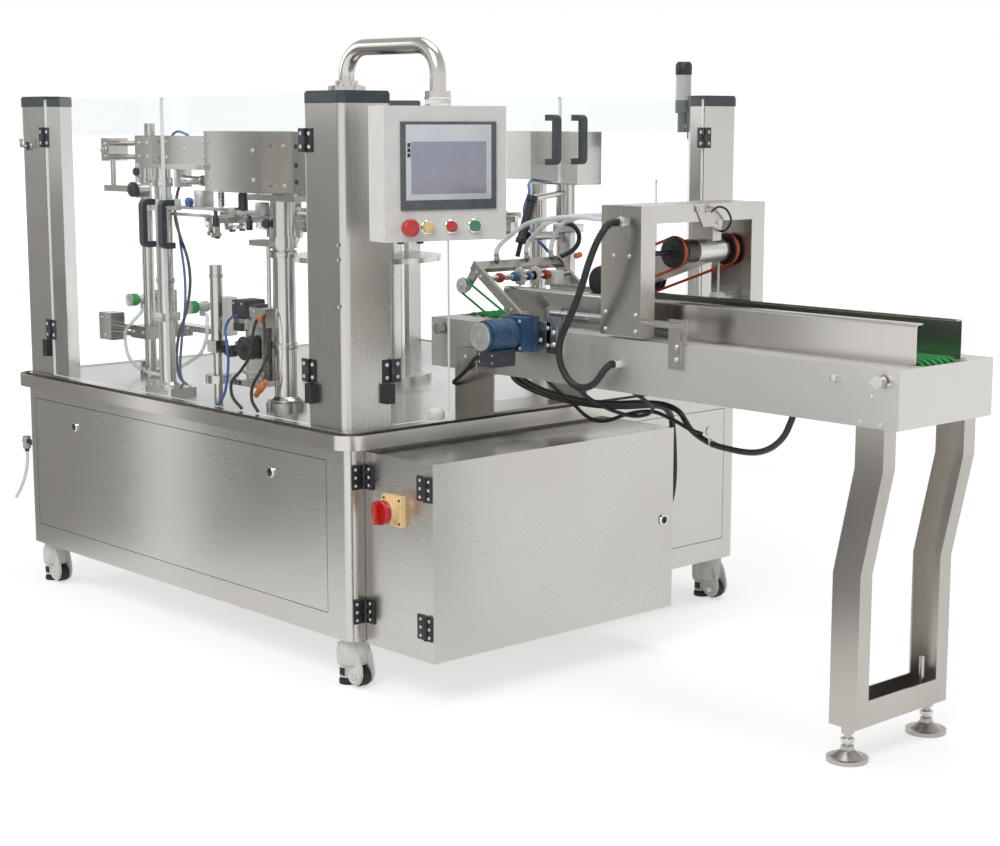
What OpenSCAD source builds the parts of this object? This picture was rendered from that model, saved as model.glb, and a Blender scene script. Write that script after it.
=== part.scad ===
// Rotary pouch packing machine: a guarded turret on a cabinet, a bag conveyor on its own
// stand, an electrical box that swings on the corner and an operator panel on a tube arm.

/* [Cabinet] */
// Length of the cabinet, along the conveyor
cab_l = 1500; // [1400:10:1600]
// Width of the cabinet, across the conveyor
cab_w = 1352; // [1300:4:1400]
// Height of the cabinet floor above the ground
floor_gap = 120; // [112:1:135]
// Height of the cabinet's upper edge
cab_top = 575; // [565:1:590]
// Wall of skins and panels
skin_t = 2; // [1.5:0.5:3]
// Outer corner radius of the cabinet
corner_r = 24; // [16:1:30]
// Lower edge of the access panels
panel_z0 = 176; // [160:1:190]
// Upper edge of the access panels
panel_z1 = 541; // [520:1:548]
// Front panel's distance from the cabinet's far end
front_panel_end = 48; // [40:1:70]
// Front panel's distance from the conveyor end
front_panel_near = 85; // [75:1:100]
// Side panel's width
side_panel_w = 430; // [380:5:436]
// Side panel's distance from the back
side_panel_end = 52; // [45:1:70]
// Gap round a panel
panel_gap = 1.5; // [1:0.25:3]

/* [Table] */
// Overhang of the table rim
tray_over = 29; // [22:1:36]
// Corner radius of the table
tray_r = 60; // [50:1:70]
// Height of the rim band
rim_h = 34; // [28:1:44]
// Thickness of the table plate
deck_t = 10; // [8:1:14]
// Drain groove's width
groove_w = 24; // [18:1:26]

/* [Guards] */
// Width of a folded post's outer faces
post_w = 134; // [120:1:145]
// Posts stand in from the cabinet's ends
post_in_x = 14; // [10:1:24]
// Posts stand in from the cabinet's sides
post_in_y = 4; // [2:1:12]
// Sheet of the posts
post_t = 2; // [1.5:0.5:3]
// Height at which the caps begin
cap_z = 1357; // [1320:1:1400]
// Height of a cap
cap_h = 28; // [20:1:34]
// Thickness of the clear guard sheets
guard_t = 8; // [6:1:10]
// Clearance of the doors above the table
door_rise = 5; // [3:1:12]
// Doors end below the caps' tops by
door_drop = 9; // [6:1:20]
// Front doors meet at this distance from the conveyor end
front_joint = 760; // [700:5:820]
// Conveyor side doors meet at this distance from the front
side_joint = 684; // [670:2:700]
// Lower edge of the conveyor side doors over the conveyor
cutout_z = 1167; // [1150:1:1200]
// Conveyor side, front door: width of its long leg
near_leg_w = 178; // [160:2:200]
// Conveyor side, back door: width of its long leg
far_leg_w = 176; // [160:2:200]
// Length of a bridge handle
handle_l = 122; // [110:2:130]
// How far a handle stands out
handle_out = 38; // [32:1:46]
// Height of a door hinge
hinge_h = 54; // [50:1:60]

/* [Electrical box] */
// Depth of the box
ebox_d = 243; // [230:1:260]
// Start of the box from the front
ebox_y0 = 46; // [42:1:52]
// Length of the box
ebox_l = 784; // [760:2:786]
// Bottom of the box
ebox_z0 = 112; // [105:1:125]
// Clearance under the table rim
ebox_clear = 8; // [5:1:12]
// Depth of its front shell, the door
ebox_door_d = 20; // [16:1:26]
// Height of a box hinge
ebox_hinge_h = 56; // [50:1:60]

/* [Conveyor] */
// Centre of the conveyor from the front
conv_y = 615; // [612:1:618]
// Width of the beam
beam_w = 324; // [318:2:330]
// Underside of the beam
beam_z0 = 710; // [706:1:716]
// Top of the beam
beam_z1 = 832; // [828:1:838]
// Start of the beam
beam_x0 = -240; // [-250:2:-230]
// End of the beam
beam_x1 = 1183; // [1150:5:1250]
// Width of the belt opening between the guide rails
belt_gap_w = 152; // [144:2:160]
// Height of the guide rails
rail_h = 84; // [70:2:96]
// Radius of the belt rollers
roller_r = 26; // [22:1:28]
// Diameter of a round belt
belt_d = 7; // [5:1:8]

/* [Stand] */
// Centre of the end stand
stand_x = 1113; // [1085:1:1120]
// Offset of the stand's foot from its head
stand_step = 47; // [30:1:60]
// Width of a leg
leg_w = 70; // [60:1:76]
// Depth of a leg channel
leg_d = 40; // [34:1:46]
// Foot plate diameter
foot_d = 88; // [80:1:100]

/* [Portal] */
// Start of the portal
portal_x = 370; // [360:1:380]
// Length of the portal along the conveyor
portal_l = 123; // [110:1:130]
// Top of the portal
portal_top = 1131; // [1125:1:1150]
// Height of the pulley shaft
press_z = 1019; // [1012:1:1024]

/* [Turret] */
// Turret centre from the conveyor end of the cabinet
turret_in = 740; // [730:1:750]
// Turret centre from the front
turret_y = 640; // [635:1:645]
// Height of the turret disc's underside
disc_z = 1030; // [1025:1:1040]
// Radius of the turret disc
disc_r = 300; // [280:2:304]
// Number of stations
stations = 8; // [6:1:9]

/* [Operator panel] */
// Width of the case
hmi_w = 300; // [280:2:320]
// Height of the case
hmi_h = 290; // [280:2:300]
// Depth of the case
hmi_d = 75; // [66:1:84]
// Arm tube diameter
arm_d = 36; // [32:1:40]
// Reach of the arm
arm_reach = 285; // [270:1:300]
// Rise of the arm's centreline above the front post's cap
arm_rise = 95; // [88:1:102]

/* [Hidden] */
$fn = 48;

// Clearances
seat = 0.3;
run = 0.05;

// The table
tray_z0 = cab_top;
rim_z = tray_z0 + rim_h;
deck_z = rim_z + 2;

// The row's origin is the middle of the machine's outline on the floor
inlet_out = 66;
mid_x = (beam_x1 - cab_l - inlet_out) / 2;
arm_at = [-75, 66];
arm_turn = 6;
hmi_turn = -12.2;
arm_end = [arm_at[0] + arm_reach * cos(arm_turn), arm_at[1] + arm_reach * sin(arm_turn)];
front_y = arm_end[1] - hmi_w / 2 * cos(hmi_turn) + hmi_d / 2 * sin(hmi_turn);
mid_y = (front_y + cab_w + tray_over) / 2;
module machine() { translate([-mid_x, -mid_y, 0]) children(); }

// Basic shapes
module bar(x0, x1, y0, y1, z0, z1) { translate([x0, y0, z0]) cube([x1 - x0, y1 - y0, z1 - z0]); }
module rod_x(x0, x1, y, z, r) { translate([x0, y, z]) rotate([0, 90, 0]) cylinder(r = r, h = x1 - x0); }
module rod_y(x, y0, y1, z, r) { translate([x, y0, z]) rotate([-90, 0, 0]) cylinder(r = r, h = y1 - y0); }
module rod_z(x, y, z0, z1, r) { translate([x, y, z0]) cylinder(r = r, h = z1 - z0); }

// Rectangle with round corners, inset by d from the outline l by w at the corner (x, y)
module round_rect(x, y, l, w, r, d = 0) {
    q = max(r - d, 1);
    translate([x + d, y + d]) {
        translate([q, 0]) square([l - 2 * d - 2 * q, w - 2 * d]);
        translate([0, q]) square([l - 2 * d, w - 2 * d - 2 * q]);
        for (cx = [q, l - 2 * d - q], cy = [q, w - 2 * d - q]) translate([cx, cy]) circle(q);
    }
}
module cab_outline(d) { round_rect(-cab_l, 0, cab_l, cab_w, corner_r, d); }
module tray_outline(d) {
    round_rect(-cab_l - tray_over, -tray_over, cab_l + 2 * tray_over, cab_w + 2 * tray_over, tray_r, d);
}

// Access panels: the openings in the skin, their jambs and the trays that fill them
jamb_d = 20;
jamb_t = 2;
lip_w = 12;
front_w = cab_l - front_panel_end - front_panel_near;
panel_h = panel_z1 - panel_z0;
lock_in = 220;
lock_z = panel_h - 58;
lock_r = 11;

// A panel lies in the plane y = 0, its face towards -y, its corner at the origin
module panel_jamb(w, h) {
    difference() {
        translate([-jamb_t, skin_t / 2, -jamb_t]) cube([w + 2 * jamb_t, jamb_d + jamb_t - skin_t / 2, h + 2 * jamb_t]);
        cube([w, jamb_d, h]);
        translate([lip_w, 0, lip_w]) cube([w - 2 * lip_w, jamb_d + 2 * jamb_t, h - 2 * lip_w]);
    }
}
module access_panel(w, h, lock_x) {
    g = panel_gap;
    difference() {
        translate([g, 0, g]) cube([w - 2 * g, jamb_d - seat, h - 2 * g]);
        translate([g + 1.5, skin_t, g + 1.5]) cube([w - 2 * g - 3, jamb_d, h - 2 * g - 3]);
        for (x = lock_x) rod_y(x, -1, skin_t + 1, lock_z, lock_r + run);
    }
    for (x = lock_x) {
        rod_y(x, -2.5, 0, lock_z, lock_r + 3);
        rod_y(x, -1, 16, lock_z, lock_r);
        translate([x - 9, 12, lock_z - 9]) cube([18, 3, 40]);
    }
}
module front_place() { translate([-cab_l + front_panel_end, 0, panel_z0]) children(); }
module side_place() { translate([0, cab_w - side_panel_end - side_panel_w, panel_z0]) rotate([0, 0, 90]) children(); }

// Cabinet: skins with openings, floor, upper flange, corner angles, jambs and turret beams
flange_w = 50;
flange_t = 4;
angle_w = 28;
turret_x = -turret_in;
turret_beam_w = 60;
turret_beam_h = 56;
cable_hole = [90, 260];
module cabinet_frame() color("silver") machine() {
    difference() {
        translate([0, 0, floor_gap]) linear_extrude(cab_top - floor_gap) difference() {
            cab_outline(0);
            cab_outline(skin_t);
        }
        front_place() translate([0, -1, 0]) cube([front_w, skin_t + 2, panel_h]);
        side_place() translate([0, -1, 0]) cube([side_panel_w, skin_t + 2, panel_h]);
        bar(-5, 5, ebox_y0 + cable_hole[0], ebox_y0 + cable_hole[0] + cable_hole[1], panel_z0 + 90, panel_z1 - 90);
        rod_x(-5, 5, gland_y, gland_z, gland_r);
        rod_x(-cab_l - 5, -cab_l + 5, inlet_y, inlet_z, stem_inlet_r + run);
    }
    translate([0, 0, floor_gap]) linear_extrude(flange_t) cab_outline(skin_t / 2);
    translate([0, 0, cab_top - flange_t]) linear_extrude(flange_t) difference() {
        cab_outline(skin_t / 2);
        cab_outline(flange_w);
    }
    for (sx = [0, 1], sy = [0, 1]) translate([-sx * cab_l, sy * cab_w, floor_gap])
        mirror([0, sy, 0]) mirror([1 - sx, 0, 0]) translate([skin_t + 8, skin_t + 8, 1]) difference() {
            cube([angle_w, angle_w, cab_top - floor_gap - 2]);
            translate([flange_t, flange_t, -1]) cube([angle_w, angle_w, cab_top - floor_gap + 2]);
        }
    front_place() panel_jamb(front_w, panel_h);
    side_place() panel_jamb(side_panel_w, panel_h);
    for (s = [-1, 1]) difference() {
        bar(turret_x + s * 190 - turret_beam_w / 2, turret_x + s * 190 + turret_beam_w / 2, jamb_d + jamb_t, cab_w - 1,
            cab_top - turret_beam_h, cab_top);
        bar(turret_x + s * 190 - turret_beam_w / 2 + 4, turret_x + s * 190 + turret_beam_w / 2 - 4, 0, cab_w,
            cab_top - turret_beam_h - 1, cab_top - 4);
    }
}
module front_access_panel() color("silver") machine() front_place()
    access_panel(front_w, panel_h, [lock_in, front_w - lock_in]);
module side_access_panel() color("silver") machine() side_place()
    access_panel(side_panel_w, panel_h, [side_panel_w - 60]);

// Table tray: rim, drain groove and deck; the neck of the turret passes through it
rim_t = 3;
neck_r = 120;
module table_tray() color("gainsboro") machine() difference() {
    translate([0, 0, tray_z0]) linear_extrude(deck_z - tray_z0) tray_outline(0);
    translate([0, 0, tray_z0 - 1]) linear_extrude(deck_z - deck_t - tray_z0 - 12 + 1) tray_outline(rim_t + 30);
    translate([0, 0, tray_z0 - 1]) linear_extrude(deck_z - deck_t - tray_z0 - 6) difference() {
        tray_outline(rim_t);
        tray_outline(tray_over - 4);
    }
    translate([0, 0, deck_z - deck_t - 4]) linear_extrude(deck_t + 6) difference() {
        tray_outline(rim_t);
        tray_outline(rim_t + groove_w);
    }
    translate([0, 0, rim_z]) linear_extrude(4) difference() {
        tray_outline(-1);
        tray_outline(rim_t + groove_w);
    }
    rod_z(turret_x, turret_y, tray_z0 - 2, deck_z + 2, neck_r + 1);
}

// Guard posts: two outer faces, two returns and a slanted inner face
return_w = 50;
post_r = 20;
post_h = cap_z - deck_z;
module post_section(d) {
    w = post_w;
    k = d * 0.42;
    difference() {
        polygon([[d, d], [w - d, d], [w - d, return_w - k], [return_w - k, w - d], [d, w - d]]);
        square(post_r);
    }
    translate([post_r, post_r]) circle(post_r - d);
}
// Corner of the cabinet: sx, sy are 0 at the conveyor end and at the front
module at_post(sx, sy) {
    translate([sx ? -cab_l + post_in_x : -post_in_x, sy ? cab_w - post_in_y : post_in_y, 0])
        mirror([1 - sx, 0, 0]) mirror([0, sy, 0]) children();
}
module each_post() { for (sx = [0, 1], sy = [0, 1]) at_post(sx, sy) children(); }
module guard_posts() color("silver") machine() each_post() {
    translate([0, 0, deck_z]) linear_extrude(post_h) difference() {
        post_section(0);
        post_section(post_t);
    }
    translate([0, 0, deck_z]) linear_extrude(3) post_section(1);
}
cap_over = 2;
module post_caps() color("darkslategray") machine() each_post() {
    translate([0, 0, cap_z]) linear_extrude(cap_h - 4) translate([-cap_over, -cap_over])
        scale((post_w + 2 * cap_over) / post_w) post_section(0);
    translate([0, 0, cap_z + cap_h - 4]) linear_extrude(4) post_section(0);
}

// Clear guards: sheets between the posts
door_z0 = deck_z + door_rise;
door_z1 = cap_z + cap_h - door_drop;
post_x1 = -post_in_x - post_w;
post_x0 = -cab_l + post_in_x + post_w;
post_y0 = post_in_y + post_w;
post_y1 = cab_w - post_in_y - post_w;
edge_gap = 3;
joint_gap = 4;
// The fixed sheets reach from post to post and are notched under the caps' rims
cap_clear = cap_over + seat;
module fixed_guards() color("lightcyan", 0.4) machine() difference() {
    union() {
        bar(-cab_l + post_in_x + 2, -cab_l + post_in_x + 2 + guard_t, post_y0, post_y1, deck_z, door_z1);
        bar(post_x0, post_x1, cab_w - post_in_y - 2 - guard_t, cab_w - post_in_y - 2, deck_z, door_z1);
    }
    for (y = [post_y0, post_y1]) bar(-cab_l + post_in_x, -cab_l + post_in_x + 3 * guard_t, y - cap_clear,
        y + cap_clear, cap_z - seat, door_z1 + 1);
    for (x = [post_x0, post_x1]) bar(x - cap_clear, x + cap_clear, cab_w - post_in_y - 3 * guard_t,
        cab_w - post_in_y, cap_z - seat, door_z1 + 1);
}
module front_sheet(x0, x1) { bar(x0, x1, post_in_y, post_in_y + guard_t, door_z0, door_z1); }
module front_door_left() color("lightcyan", 0.4) machine()
    front_sheet(post_x0 + edge_gap, -front_joint - joint_gap / 2);
module front_door_right() color("lightcyan", 0.4) machine()
    front_sheet(-front_joint + joint_gap / 2, post_x1 - edge_gap);
module side_door_left() color("lightcyan", 0.4) machine() difference() {
    bar(-post_in_x - guard_t, -post_in_x, post_y0 + edge_gap, side_joint - joint_gap / 2, door_z0, door_z1);
    bar(-post_in_x - 2 * guard_t, 0, post_y0 + edge_gap + near_leg_w, side_joint + 1, 0, cutout_z);
}
module side_door_right() color("lightcyan", 0.4) machine() difference() {
    bar(-post_in_x - guard_t, -post_in_x, side_joint + joint_gap / 2, post_y1 - edge_gap, door_z0, door_z1);
    bar(-post_in_x - 2 * guard_t, 0, side_joint - 1, post_y1 - edge_gap - far_leg_w, 0, cutout_z);
}

// Door hinges. Local frame: the pin stands on z, the post's face is in the plane y = hinge_off,
// the post lies on -x and the door on +x
hinge_off = 6;
knuckle_r = 5;
pin_r = 2.5;
leaf_t = 3;
leaf_w = 26;
leaf_x = knuckle_r + 0.5;
third = hinge_h / 3;
module fixed_leaf() {
    bar(-leaf_w, -leaf_x, hinge_off - leaf_t, hinge_off, 0, hinge_h);
    for (z = [0, 2 * third + seat]) {
        bar(-leaf_x - 1, 0, 0, hinge_off, z, z + third - seat);
        rod_z(0, 0, z, z + third - seat, knuckle_r);
    }
    rod_z(0, 0, 0, hinge_h, pin_r);
}
module moving_leaf() {
    difference() {
        union() {
            bar(leaf_x, leaf_w, hinge_off - leaf_t, hinge_off, 0, hinge_h);
            bar(0, leaf_x + 1, 0, hinge_off, third + seat, 2 * third - seat);
            rod_z(0, 0, third + seat, 2 * third - seat, knuckle_r);
        }
        rod_z(0, 0, -1, hinge_h + 1, pin_r + run);
    }
}
hinge_z = [1247, 717];
pin_x0 = post_x0 + 1.5;
pin_x1 = post_x1 - 1.5;
pin_y0 = post_y0 + 1.5;
pin_y1 = post_y1 - 1.5;
front_pin_y = post_in_y - hinge_off;
side_pin_x = -post_in_x + hinge_off;
module hinge_place(i) {
    if (i == 0) translate([pin_x0, front_pin_y, 0]) children();
    if (i == 1) translate([pin_x1, front_pin_y, 0]) mirror([1, 0, 0]) children();
    if (i == 2) translate([side_pin_x, pin_y0, 0]) rotate([0, 0, 90]) children();
    if (i == 3) translate([side_pin_x, pin_y1, 0]) mirror([0, 1, 0]) rotate([0, 0, 90]) children();
}

// Bridge handle: a flat U, its feet on the plane y = 0, standing out to -y
grip_w = 20;
grip_t = 13;
grip_r = 16;
module handle() rotate([0, -90, 0]) translate([-handle_l / 2, 0, -grip_w / 2]) mirror([0, 1, 0])
    linear_extrude(grip_w) difference() {
        union() {
            translate([0, 0]) square([handle_l, handle_out - grip_r]);
            translate([grip_r, 0]) square([handle_l - 2 * grip_r, handle_out]);
            for (x = [grip_r, handle_l - grip_r]) translate([x, handle_out - grip_r]) circle(grip_r);
        }
        translate([grip_t + 2, -1]) square([handle_l - 2 * grip_t - 4, handle_out - grip_t + 1]);
    }
front_handle_z = 1061;
side_handle_z = 1272;
handle_in = 45;
module front_left_fittings() color("darkslategray") machine() {
    for (z = hinge_z) hinge_place(0) translate([0, 0, z]) moving_leaf();
    translate([-front_joint - handle_in, post_in_y, front_handle_z]) handle();
}
module front_right_fittings() color("darkslategray") machine() {
    for (z = hinge_z) hinge_place(1) translate([0, 0, z]) moving_leaf();
    translate([-front_joint + handle_in, post_in_y, front_handle_z]) handle();
}
module side_left_fittings() color("darkslategray") machine() {
    for (z = hinge_z) hinge_place(2) translate([0, 0, z]) moving_leaf();
    translate([-post_in_x, side_joint - handle_in, side_handle_z]) rotate([0, 0, 90]) handle();
}
module side_right_fittings() color("darkslategray") machine() {
    for (z = hinge_z) hinge_place(3) translate([0, 0, z]) moving_leaf();
    translate([-post_in_x, side_joint + handle_in, side_handle_z]) rotate([0, 0, 90]) handle();
}

// Fixed leaves, interlock blocks under the lower hinges, hook, box hinge leaves on the post
lock_h = 46;
lock_gap = 2;
ebox_pin = [6, ebox_y0 - 6];
ebox_z1 = cab_top - ebox_clear;
ebox_hinge_z = [ebox_z0 + 52, ebox_z1 - 30 - ebox_hinge_h];
ebox_leaf_w = 28;
module guard_fittings() color("dimgray") machine() {
    for (i = [0:3], z = hinge_z) hinge_place(i) translate([0, 0, z]) fixed_leaf();
    for (i = [0:3]) hinge_place(i) translate([0, 0, hinge_z[1] - lock_h - lock_gap])
        bar(-leaf_w, -2, hinge_off - 16, hinge_off, 0, lock_h);
    translate([-cab_l + post_in_x + 46, post_in_y, 1250]) hook();
    for (z = ebox_hinge_z) translate([ebox_pin[0], ebox_pin[1], z]) mirror([0, 1, 0]) rotate([0, 0, 90])
        post_leaf();
    rod_x(0, gland_l, gland_y, gland_z, bundle_r + 5);
    rod_x(-6, 1, gland_y, gland_z, gland_r - run);
    translate([-cab_l, inlet_y, inlet_z]) air_inlet();
}
// Leaf on the cabinet's end face, with the pin
module post_leaf() {
    t = ebox_hinge_h / 5;
    bar(leaf_x, ebox_leaf_w, ebox_pin[0] - leaf_t, ebox_pin[0], 0, ebox_hinge_h);
    for (i = [0, 2, 4]) {
        rod_z(0, 0, i * t + seat, (i + 1) * t - seat, knuckle_r);
        bar(0, leaf_x + 1, 0, ebox_pin[0], i * t + seat, (i + 1) * t - seat);
    }
    rod_z(0, 0, seat, ebox_hinge_h - seat, pin_r);
}
// Leaf on a box side, bored for the pin; the side's face is in the plane y = off
module box_leaf(off) {
    t = ebox_hinge_h / 5;
    difference() {
        union() {
            bar(leaf_x, ebox_leaf_w, off - leaf_t, off, 0, ebox_hinge_h);
            for (i = [1, 3]) {
                rod_z(0, 0, i * t + seat, (i + 1) * t - seat, knuckle_r);
                bar(0, leaf_x + 1, 0, off, i * t + seat, (i + 1) * t - seat);
            }
        }
        rod_z(0, 0, -1, ebox_hinge_h + 1, pin_r + run);
    }
}
// Air inlet on the end skin: stem through the skin, nut, block with a port and a barb below
inlet_y = 20;
inlet_z = 402;
stem_inlet_r = 7;
inlet_x = -50;
barb_l = 30;
module air_inlet() {
    rod_x(inlet_x, 8, 0, 0, stem_inlet_r);
    rod_x(-12, 0, 0, 0, 10);
    rod_z(inlet_x, 0, -22, 14, 11);
    rod_x(-inlet_out, inlet_x, 0, 0, 8);
    rod_z(inlet_x, 0, -barb_l, -20, hose_r + 1.5);
}
module hook() {
    rod_y(0, -26, 0, 0, 4);
    rod_z(0, -24, 0, 14, 4);
    rod_y(0, -5, 0, 0, 12);
}

// Signal lamp on the inner side of the right-hand post
lamp_x = post_x1 - 26;
lamp_y = cab_w - post_in_y - 42;
lamp_r = 22;
lamp_neck_z = 1288;
lamp_base_z = 1340;
lens_z = 1375;
lens_h = 69;
lamp_cap_h = 26;
module lamp_body() color("gray") machine() {
    bar(post_x1 - 5, post_x1, lamp_y - 7, lamp_y + 31, 1269, 1345);
    rod_x(lamp_x - 8, post_x1, lamp_y, 1302, 12);
    rod_z(lamp_x, lamp_y, lamp_neck_z, lamp_base_z, 15);
    rod_z(lamp_x, lamp_y, lamp_base_z, lens_z, lamp_r);
    rod_z(lamp_x, lamp_y, lens_z + lens_h, lens_z + lens_h + lamp_cap_h, lamp_r);
    translate([lamp_x, lamp_y, lens_z + lens_h + lamp_cap_h]) cylinder(r1 = lamp_r, r2 = lamp_r - 5, h = 8, $fn = 40);
}
module lamp_lens() color("whitesmoke", 0.5) machine() translate([lamp_x, lamp_y, lens_z]) difference() {
    cylinder(r = lamp_r - 1, h = lens_h);
    translate([0, 0, 3]) cylinder(r = lamp_r - 4, h = lens_h - 6);
}

// Electrical box: hung on the cabinet's corner, open at the back, closed by its front shell
ebox_h = ebox_z1 - ebox_z0;
ebox_y1 = ebox_y0 + ebox_l;
ebox_front = ebox_d - ebox_door_d;
box_t = 2;
ebox_back = 1;
switch_x = 112;
switch_z = 446;
switch_w = 70;
switch_t = 34;
knob_bore_r = 6;
module ebox_shell() color("silver") machine() {
    difference() {
        bar(ebox_back, ebox_front, ebox_y0, ebox_y1, ebox_z0, ebox_z1);
        bar(ebox_back + box_t, ebox_front + 1, ebox_y0 + box_t, ebox_y1 - box_t, ebox_z0 + box_t, ebox_z1 - box_t);
        bar(-1, ebox_back + box_t + 1, ebox_y0 + cable_hole[0], ebox_y0 + cable_hole[0] + cable_hole[1],
            panel_z0 + 90, panel_z1 - 90);
        rod_y(switch_x, ebox_y0 - 1, ebox_y0 + box_t + 1, switch_z, knob_bore_r + 4);
    }
    difference() {
        bar(ebox_front - 3, ebox_front, ebox_y0 + 1, ebox_y1 - 1, ebox_z0 + 1, ebox_z1 - 1);
        bar(ebox_front - 4, ebox_front + 1, ebox_y0 + 18, ebox_y1 - 18, ebox_z0 + 18, ebox_z1 - 18);
    }
    for (z = ebox_hinge_z) {
        translate([ebox_pin[0], ebox_pin[1], z]) box_leaf(6);
        translate([ebox_front, ebox_pin[1], z]) mirror([1, 0, 0]) box_leaf(6);
    }
}
// Mounting plate with rows of switchgear
row_z = [176, 300, 430];
plate_in = [420, 40];
plate_t = 14;
rail_band = [35, 8];
device_w = 48;
device_pitch = 56;
device_d = 65;
device_z = [22, 62];
module ebox_plate() color("ivory") machine() {
    plate_x = ebox_back + box_t + plate_t;
    bar(ebox_back + box_t, plate_x, ebox_y0 + plate_in[0], ebox_y1 - plate_in[1], ebox_z0 + plate_in[1], ebox_z1 - plate_in[1]);
    for (z = row_z) {
        bar(plate_x, plate_x + rail_band[1], ebox_y0 + plate_in[0] + 10, ebox_y1 - plate_in[1] - 10, z, z + rail_band[0]);
        for (i = [0:4]) {
            y = ebox_y0 + plate_in[0] + 16 + device_pitch * i;
            bar(plate_x + rail_band[1], plate_x + rail_band[1] + device_d + 12 * (i % 2), y, y + device_w, z - device_z[0],
                z + device_z[1]);
        }
    }
}
ebox_lock_z = ebox_z0 + 226;
module ebox_door() color("silver") machine() {
    difference() {
        bar(ebox_front + seat, ebox_d, ebox_y0, ebox_y1, ebox_z0, ebox_z1);
        bar(ebox_front - 1, ebox_d - box_t, ebox_y0 + box_t, ebox_y1 - box_t, ebox_z0 + box_t, ebox_z1 - box_t);
        rod_x(ebox_d - box_t - 1, ebox_d + 1, ebox_y1 - 36, ebox_lock_z, lock_r + run);
    }
    rod_x(ebox_d, ebox_d + 2.5, ebox_y1 - 36, ebox_lock_z, lock_r + 3);
    rod_x(ebox_d - 16, ebox_d + 1, ebox_y1 - 36, ebox_lock_z, lock_r);
    for (z = ebox_hinge_z) translate([ebox_front, ebox_pin[1], z]) door_leaf();
}
// Leaf on the door's narrow side, with the pin
module door_leaf() {
    t = ebox_hinge_h / 5;
    bar(leaf_x, ebox_door_d - 1, 6 - leaf_t, 6, 0, ebox_hinge_h);
    for (i = [0, 2, 4]) {
        rod_z(0, 0, i * t + seat, (i + 1) * t - seat, knuckle_r);
        bar(0, leaf_x + 1, 0, 6, i * t + seat, (i + 1) * t - seat);
    }
    rod_z(0, 0, seat, ebox_hinge_h - seat, pin_r);
}
module mains_switch_base() color("gold") machine() difference() {
    union() {
        bar(switch_x - switch_w / 2, switch_x + switch_w / 2, ebox_y0 - 12, ebox_y0, switch_z - switch_w / 2,
            switch_z + switch_w / 2);
        rod_y(switch_x, ebox_y0 - switch_t, ebox_y0 - 12, switch_z, 30);
        rod_y(switch_x, ebox_y0, ebox_y0 + 40, switch_z, knob_bore_r + 3.95);
    }
    rod_y(switch_x, ebox_y0 - switch_t - 1, ebox_y0 + 41, switch_z, knob_bore_r + run);
}
module mains_switch_knob() color("red") machine() {
    rod_y(switch_x, ebox_y0 - switch_t - seat - 10, ebox_y0 - switch_t - seat, switch_z, 28);
    rod_y(switch_x, ebox_y0 - switch_t - seat - 1, ebox_y0 + 36, switch_z, knob_bore_r);
    bar(switch_x - 8, switch_x + 8, ebox_y0 - switch_t - seat - 28, ebox_y0 - switch_t - seat - 9, switch_z - 25,
        switch_z + 25);
}

// Operator panel: flange on the front post's cap, bent tube, case on the tube's end
bend_r = 62;
cap_top = cap_z + cap_h;
arm_z = cap_top + arm_rise;
hmi_drop = 131;
arm_flange_r = 43;
hmi_z1 = arm_z - hmi_drop;
drop_z = hmi_z1 + 26;
module arm_place() { translate([arm_at[0], arm_at[1], 0]) rotate([0, 0, arm_turn]) children(); }
module tube_bend(r) { rotate([90, 0, 0]) rotate_extrude(angle = 90) translate([bend_r, 0]) circle(r); }
module hmi_arm() color("silver") machine() arm_place() {
    rod_z(0, 0, cap_top + seat, cap_top + 10, arm_flange_r);
    rod_z(0, 0, cap_top + 10, cap_top + 22, arm_d / 2 + 8);
    rod_z(0, 0, cap_top + 9, arm_z - bend_r, arm_d / 2);
    translate([bend_r, 0, arm_z - bend_r]) mirror([1, 0, 0]) tube_bend(arm_d / 2);
    rod_x(bend_r, arm_reach - bend_r, 0, arm_z, arm_d / 2);
    translate([arm_reach - bend_r, 0, arm_z - bend_r]) tube_bend(arm_d / 2);
    rod_z(arm_reach, 0, drop_z, arm_z - bend_r, arm_d / 2);
    rod_z(arm_reach, 0, drop_z - 6, drop_z + 6, arm_d / 2 + 10);
}
// Case frame: origin at the tube's end, x is the face's normal
module hmi_place() {
    translate([arm_end[0], arm_end[1], hmi_z1]) rotate([0, 0, hmi_turn]) children();
}
button_y = [-98, -50, 8, 66];
button_z = -hmi_h + 31;
button_r = 12;
stem_r = 8;
button_travel = 4;
module hmi_case() color("whitesmoke") machine() hmi_place() {
    difference() {
        bar(-hmi_d / 2, hmi_d / 2, -hmi_w / 2, hmi_w / 2, -hmi_h, 0);
        bar(hmi_d / 2 - 5, hmi_d / 2 + 1, -112, 122, -hmi_h + 68, -34);
        bar(-hmi_d / 2 + 3, hmi_d / 2 - 8, -hmi_w / 2 + 3, hmi_w / 2 - 3, -hmi_h + 3, -3);
        for (y = button_y) rod_x(hmi_d / 2 - 10, hmi_d / 2 + 1, y, button_z, stem_r + run);
        rod_z(0, 0, -4, 1, 9);
    }
    rod_z(0, 0, -1, drop_z - 6 - seat - hmi_z1, arm_d / 2 + 10);
    for (y = button_y) difference() {
        rod_x(hmi_d / 2 - 1, hmi_d / 2 + 4, y, button_z, button_r + 3);
        rod_x(hmi_d / 2 - 2, hmi_d / 2 + 5, y, button_z, stem_r + run);
    }
}
module hmi_screen() color("darkslategray") machine() hmi_place()
    bar(hmi_d / 2 - 5, hmi_d / 2 + 3, -112 + run, 122 - run, -hmi_h + 68 + run, -34 - run);
module push_button(i) {
    hmi_place() {
        rod_x(hmi_d / 2 - 24, hmi_d / 2 + 9, button_y[i], button_z, stem_r);
        rod_x(hmi_d / 2 + 4 + button_travel + 0.5, hmi_d / 2 + 13, button_y[i], button_z, button_r);
    }
}
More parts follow.
